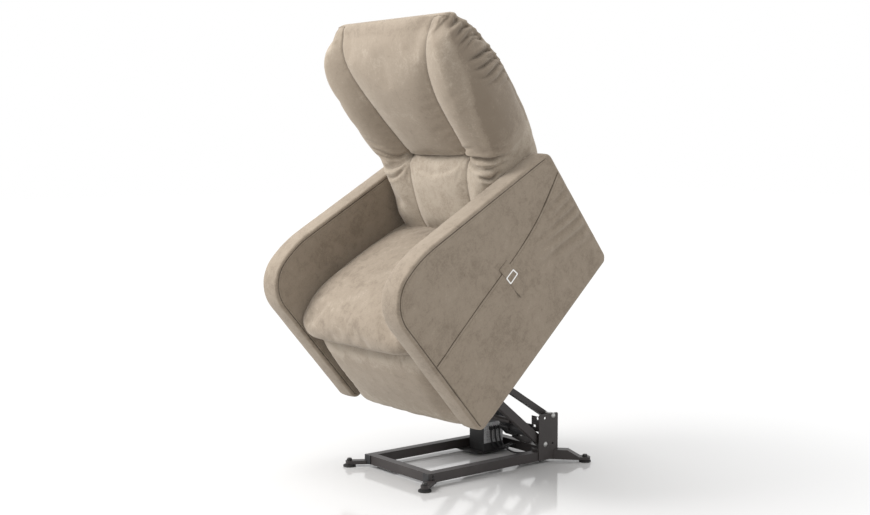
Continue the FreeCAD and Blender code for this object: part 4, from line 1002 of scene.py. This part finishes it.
def make_side_panel(side):
    """One side panel on the outer face of its arm, lying flat where the ring of the strap is."""
    levels = np.r_[-3.0, -1.6, -0.4, 0.8, 2.5, 4.5, 6.6, 8.0, 9.4, 11.5, 15,
                   np.arange(20, 300, 5.5), PANEL_DROP]
    seam = smooth_line(SIDE_SEAM, 400)
    points = []
    drop = levels / PANEL_DROP
    for share in np.linspace(0, 1, 151):
        low_u = PANEL_FRONT + share * PANEL_LENGTH
        u_top = low_u + 13 + 24 * share
        v_top = float(np.interp(u_top, seam[:, 0], seam[:, 1]))
        u = u_top + (low_u - u_top) * np.clip(drop, 0, 1) ** 1.15
        v = v_top - (v_top - 3.0) * drop
        points.append(np.stack([u, v], 1))
    points = np.array(points).transpose(1, 0, 2)
    u, v = points[..., 0], points[..., 1]
    inset = inset_at(points)
    drop = np.broadcast_to(levels[:, None], u.shape)
    hem = -PANEL_LIFT - 0.2 + (PANEL_LIFT + 0.8) * smooth(drop, -1.8, 0.9)
    hem = hem - 0.6 * smooth(drop, 2, 6)
    hem = np.minimum(hem + 0.6 * smooth(drop, 6, 9), 0.5)
    stitch = -1.2 * np.exp(-((drop - 8.0) / 1.0) ** 2)
    swell_here = face_swell(np.maximum(inset, 12))
    rounding = 1 - np.clip(inset / ARM_EDGE, 0, 1)
    edge = ARM_EDGE * (1 - np.sqrt(np.clip(1 - rounding ** 2, 0, 1)))
    waves = np.zeros(u.shape)
    for line, deep, wide in SIDE_FOLDS:
        waves += crease(line, u, v, deep, wide, puff=0.8, ends=(0.02, 0.7))
    flat = stand(np.stack([np.full(u.shape, side * ARM_FACE), u, v], -1).reshape(-1, 3))
    lumps = 0.5 * wander(flat, 0.07, 5 * side).reshape(u.shape)
    ring_near = 1 - smooth(np.hypot(u - RING_U, v - RING_V), 34, 70)
    lift = (PANEL_LIFT + hem + stitch + swell_here - edge
            + (waves + lumps) * smooth(inset, 4, 40) * (1 - ring_near))
    front = 1 - smooth(inset, 11.5, 14.0)
    lift = np.where((u < 60) & (inset < 14), lift - 3.4 * front, lift)
    x = side * (ARM_FACE + lift)
    rows = np.concatenate([x[..., None], points], -1)
    # Painted shade: the edge of the hem fold, the row of stitches and the valleys of the folds are
    # painted darker.
    panel = woven("side_panel_" + SIDE_NAMES[side], rows, closed=False, finish=arm_suede,
                  seams=np.clip((1 - smooth(drop, -1.0, 1.6)) + 0.28 * (stitch < -0.4)
                                + np.clip(-0.055 * waves, 0, 0.2), 0, 1))
    face_out(panel, side)
    thicken(panel, 0.0016)
    return panel


side_panels = [make_side_panel(side) for side in (-1, 1)]
for panel in side_panels:
    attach(panel, "carriage")
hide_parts("side_panels")


# Strap: a doubled band of the same suede that lies over the edge of the right side panel. It is
# sewn down at its top, runs through a thin flat metal ring and ends loose below it.
STRAP_U, STRAP_V = 385.5, 316.0
STRAP_WIDTH, STRAP_LENGTH = 43.5, 119.0
STRAP_MIDDLE = 407.0
down = np.r_[0.0, 0.8, 2.0, 3.6, 5.4, np.linspace(8, 112, 40), 115.0, 117.0, 118.3, STRAP_LENGTH]
over = np.r_[0.0, 0.7, 1.8, 3.2, 4.6, np.linspace(7, 37, 11), 39.2, 40.6, 41.9, 42.9, STRAP_WIDTH]
down, over = np.meshgrid(down, over, indexing="ij")
strap_u, strap_v = STRAP_U + over, STRAP_V - down
# The ring squeezes the strap a little, and its lower end is cut on a slant.
waist = np.exp(-((strap_v - RING_V) / 20) ** 2)
strap_u = strap_u + waist * 0.6 * np.sign(STRAP_MIDDLE - strap_u)
strap_v = strap_v + smooth(down, 60, STRAP_LENGTH) * 9 * (strap_u - STRAP_MIDDLE) / 44
under_seam = smooth(-strap_v, -304, -297)
strap_lift = ARM_FACE + face_swell(np.full(strap_u.shape, 100.0)) + PANEL_LIFT * under_seam + 1.7
strap_lift += 0.5 * np.exp(-((strap_v - 301) / 4) ** 2)
strap_lift += 6.0 * smooth(down, 88, STRAP_LENGTH) * smooth(430 - strap_u, 0, 44)
rim = np.minimum(np.minimum(over, STRAP_WIDTH - over), np.minimum(down, STRAP_LENGTH - down))
strap_lift -= 1.9 * (1 - smooth(rim, 0, 1.8))
strap_lift -= 0.5 * np.exp(-((rim - 3.6) / 0.8) ** 2)
strap_rows = np.stack([strap_lift, strap_u, strap_v], -1)
# Painted shade: the strap is painted darker round its rim and along the stitches just inside it.
strap = woven("strap", strap_rows, closed=False, finish=arm_suede,
              seams=np.clip(1.0 * (1 - smooth(rim, 0.3, 2.0))
                            + 0.25 * np.exp(-((rim - 3.4) / 0.6) ** 2), 0, 1))
face_out(strap, 1)
thicken(strap, 0.0012)
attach(strap, "carriage")
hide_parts("tag_tab")


# Steel frame: square tube, flat bar and folded plate, welded and powder coated in one black-brown.
# The coat is satin and a little uneven, rounds every edge, and is dusty in places.
COAT = (0.029, 0.0235, 0.0225, 1)
COAT_DUSTY = (0.052, 0.045, 0.043, 1)


def dress_nodes(names, finish):
    """Gives solids of the frame one finish all over."""
    for name in names:
        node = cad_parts[name]
        for place in node.material_slots:
            place.material = finish.material
        if not node.material_slots:
            dress(node, finish)


powder = Finish("powder_coat", Specular_IOR_Level=0.5)
dust = powder.noise(0.13, 4, 0.6)
peel = powder.noise(0.0011, 2, 0.5)
pits = powder.noise(0.0042, 3, 0.6)
powder.set(Base_Color=powder.mix(0.55 * dust.step(0.42, 0.72), COAT, COAT_DUSTY),
           Roughness=0.36 + 0.16 * dust + 0.06 * pits,
           Normal=powder.relief(peel + 0.6 * pits, 0.00012, 0.0016))
dress_nodes(["base_rails", "base_cross_tubes", "posts", "front_foot_arms", "rear_foot_arms",
             "lower_links", "link_cross_tube", "upper_links", "carriage_rails",
             "carriage_cross_tubes", "lift_plates", "actuator_clevises", "actuator_bracket",
             "arm_brackets", "hinge_plates", "back_steel_plates", "torque_tube",
             "footrest_rear_links", "footrest_front_links", "footrest_lugs"], powder)


# Fasteners and pins: steel, turned or pressed, in bright zinc that has gone a little cloudy.
zinc = Finish("zinc_plate", Metallic=1.0)
cloud = zinc.noise(0.006, 3, 0.6)
zinc.set(Base_Color=zinc.mix(cloud.step(0.35, 0.7), (0.34, 0.34, 0.33, 1), (0.56, 0.56, 0.55, 1)),
         Roughness=0.26 + 0.20 * cloud,
         Normal=zinc.relief(zinc.noise(0.0007, 2), 0.00004, 0.0006))
dress_nodes(["base_pivot_pins", "link_pivot_nuts", "upper_front_pins",
             "carriage_pins", "back_pins"], zinc)


# Bolts and screws of the base: socket heads in black oxide, which is worn paler in spots.
blued = Finish("black_oxide", Metallic=0.9)
worn = blued.noise(0.004, 3, 0.6)
blued.set(Base_Color=blued.mix(worn.step(0.55, 0.8), (0.045, 0.043, 0.042, 1),
                               (0.22, 0.215, 0.21, 1)),
          Roughness=0.34 + 0.18 * worn,
          Normal=blued.relief(worn, 0.00003, 0.0006))
dress_nodes(["base_bolts"], blued)


# Motor tray: a thin pressed sheet behind the posts, in the same coat but glossier, with scuffs
# that run from side to side.
tray = Finish("tray_coat", Specular_IOR_Level=0.5)
scuff = tray.streaks((0.16, 0.004, 0.02), 4.0, 0.65)
tray.set(Base_Color=tray.mix(0.4 * scuff.step(0.55, 0.75), (0.024, 0.022, 0.022, 1), COAT_DUSTY),
         Roughness=0.30 + 0.30 * scuff,
         Normal=tray.relief(tray.noise(0.0014, 2), 0.0001, 0.0012))
dress_nodes(["motor_tray"], tray)


# Power box: a moulded base with a black cover whose right face is a grey plate, punched all over
# with small vents, and a black inlet for the mains lead. The rest is moulded black plastic.
box_paint = Finish("vent_cover", Specular_IOR_Level=0.45)
box_x = box_paint.add("ShaderNodeSeparateXYZ", {}, box_paint.place, output="X")
vent_place = box_paint.add("ShaderNodeVectorMath", {"operation": "SCALE"}, box_paint.place,
                           Scale=1 / 0.0085)
vent = box_paint.add("ShaderNodeTexVoronoi", {"feature": "F1"}, vent_place, Scale=1.0,
                     Randomness=0.25, output="Distance")
side_face = box_x.step(-0.0392, -0.0384)
# Painted shade: the vents are painted near-black, as the shade inside the holes.
vent_hole_and_shade = side_face * (1 - vent.step(0.20, 0.30))
speck = box_paint.noise(0.0024, 3, 0.7)
grey = box_paint.mix(speck.step(0.35, 0.65), (0.30, 0.30, 0.305, 1), (0.54, 0.54, 0.545, 1))
shell = box_paint.mix(side_face, (0.018, 0.0175, 0.018, 1), grey)
box_paint.set(Base_Color=box_paint.mix(vent_hole_and_shade, shell, (0.008, 0.008, 0.008, 1)),
              Roughness=0.42 + 0.2 * speck,
              Normal=box_paint.relief(0.3 * speck - vent_hole_and_shade, 0.0005, 0.001))
dress_nodes(["power_box_cover"], box_paint)

plastic = Finish("black_plastic", Specular_IOR_Level=0.5)
grain = plastic.add("ShaderNodeTexVoronoi", {"feature": "SMOOTH_F1"}, Vector=plastic.place,
                    Scale=1 / 0.0011, output="Distance")
wear = plastic.noise(0.03, 3, 0.6)
plastic.set(Base_Color=plastic.mix(wear.step(0.4, 0.75), (0.014, 0.014, 0.015, 1),
                                   (0.030, 0.029, 0.029, 1)),
            Roughness=0.40 + 0.18 * wear,
            Normal=plastic.relief(grain, 0.00008, 0.0012))
dress_nodes(["power_box_base", "power_inlet", "lead_fittings", "rail_end_caps",
             "lower_link_bushes", "upper_link_bushes", "lift_actuator_drive",
             "recline_actuator_body"], plastic)


# Feet: hard rubber cones with fine rings from the mould, dusty where they meet the floor.
rubber = Finish("foot_rubber", Specular_IOR_Level=0.3)
height = rubber.add("ShaderNodeSeparateXYZ", {}, rubber.place, output="Z")
rings = (height * (2 * math.pi / 0.0016)).sine()
grime = (1 - height.step(0.0, 0.006)) * rubber.noise(0.01, 3)
rubber.set(Base_Color=rubber.mix(grime, (0.012, 0.012, 0.012, 1), (0.10, 0.095, 0.088, 1)),
           Roughness=0.62 + 0.2 * rubber.noise(0.004, 3),
           Normal=rubber.relief(0.4 * rings + rubber.noise(0.0012, 2), 0.00015, 0.001))
dress_nodes(["foot_pads"], rubber)


# Linear actuators: a dark painted outer tube, drawn along its length, and a bright ground rod.
tube_paint = Finish("actuator_tube", Specular_IOR_Level=0.5)
drawn = tube_paint.streaks((0.002, 0.09, 0.09), 3.0, 0.6)
tube_paint.set(Base_Color=tube_paint.mix(drawn.step(0.4, 0.7), (0.020, 0.020, 0.022, 1),
                                         (0.042, 0.042, 0.045, 1)),
               Roughness=0.24 + 0.22 * drawn,
               Normal=tube_paint.relief(drawn, 0.00006, 0.001))
dress_nodes(["lift_actuator_tube"], tube_paint)

rod_steel = Finish("rod_steel", Metallic=1.0)
turned = rod_steel.streaks((0.03, 0.0009, 0.0009))
rod_steel.set(Base_Color=rod_steel.mix(turned, (0.60, 0.61, 0.62, 1), (0.76, 0.76, 0.76, 1)),
              Roughness=0.16 + 0.14 * turned,
              Normal=rod_steel.relief(turned, 0.00002, 0.0008))
dress_nodes(["lift_actuator_rod", "recline_actuator_rod"], rod_steel)


# Ring on the strap: thin flat metal, painted white and left plain.
ring_paint = Finish("ring_paint", Specular_IOR_Level=0.5)
chalk = ring_paint.noise(0.003, 3, 0.6)
ring_paint.set(Base_Color=ring_paint.mix(chalk, (0.78, 0.77, 0.75, 1), (0.86, 0.86, 0.85, 1)),
               Roughness=0.30 + 0.15 * chalk,
               Normal=ring_paint.relief(chalk, 0.00004, 0.0007))
dress_nodes(["tag_ring"], ring_paint)


# Wood inside: birch plywood for the seat and back frames, the arm boards and the footrest, with
# a long soft grain and fine pores.
wood = Finish("birch_plywood", Specular_IOR_Level=0.3)
figure = wood.streaks((0.010, 0.16, 0.16), 5.0, 0.6, (TIP, 0, 0), distortion=0.7)
pores = wood.streaks((0.0012, 0.03, 0.03), 3.0)
wood.set(Base_Color=wood.mix(figure.step(0.3, 0.7), (0.36, 0.235, 0.125, 1),
                             (0.60, 0.44, 0.27, 1)),
         Roughness=0.56 + 0.16 * pores,
         Normal=wood.relief(0.5 * figure + pores, 0.00018, 0.0015))
dress_nodes(["seat_frame", "back_frame", "arm_boards", "footrest_board"], wood)


# Webbing: black elastic straps, with the threads of their weave standing out.
web = Finish("webbing", Specular_IOR_Level=0.2, Sheen_Weight=0.1)
web_x, web_y, web_z = [web.add("ShaderNodeSeparateXYZ", {}, web.place, output=axis)
                       for axis in ("X", "Y", "Z")]
warp = (web_x * (math.pi / 0.0013)).sine()
weft = ((web_y + web_z) * (math.pi / 0.0021)).sine()
weave = 0.5 + 0.5 * (warp * weft)
web.set(Base_Color=web.mix(weave, (0.016, 0.015, 0.015, 1), (0.052, 0.049, 0.046, 1)),
        Roughness=0.80 + 0.1 * weave, Normal=web.relief(weave, 0.0004))
dress_nodes(["seat_webbing", "back_webbing"], web)


# Rear skirt: a plain suede cloth hung across the back of the seat frame between the arms. Its
# sides and lower hem are turned over and sewn.
SKIRT_HALF, SKIRT_TOP, SKIRT_LOW = 285.5, 174.0, 22.0
across = np.linspace(-SKIRT_HALF, SKIRT_HALF, 150)
fall = np.r_[0.0, 2.0, np.linspace(6, 138, 34), 140.5, 142.0, 144, 148, 150.6, 152.0]
fall, skirt_x = np.meshgrid(fall, across, indexing="ij")
skirt_v = SKIRT_TOP - fall
loose = smooth(fall, 10, 150)
hang = np.zeros(skirt_x.shape)
for middle, reach, out in ((-214, 26, 1.7), (-121, 34, -1.5), (-37, 22, 1.2), (49, 38, -1.6),
                           (133, 24, 1.5), (208, 30, -1.3)):
    lean = 0.10 * (SKIRT_TOP - skirt_v) * (1 if middle > 0 else -1)
    hang += out * np.exp(-((skirt_x - middle - lean) / reach) ** 2)
skirt_hem = (skirt_v < SKIRT_LOW + 11) | (np.abs(skirt_x) > SKIRT_HALF - 11)
skirt_stitch = (np.exp(-((skirt_v - SKIRT_LOW - 11) / 1.0) ** 2)
                + np.exp(-((np.abs(skirt_x) - SKIRT_HALF + 11) / 1.4) ** 2))
skirt_u = 731.0 + hang * loose + 0.6 * skirt_hem - 0.5 * np.clip(skirt_stitch, 0, 1)
# Painted shade: the stitch lines of the hems are painted darker.
skirt = woven("rear_skirt_cloth", np.stack([skirt_x, skirt_u, skirt_v], -1), closed=False,
              finish=arm_suede, seams=0.35 * np.clip(skirt_stitch, 0, 1))
thicken(skirt, 0.0015, offset=0)
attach(skirt, "carriage")
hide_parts("rear_skirt")
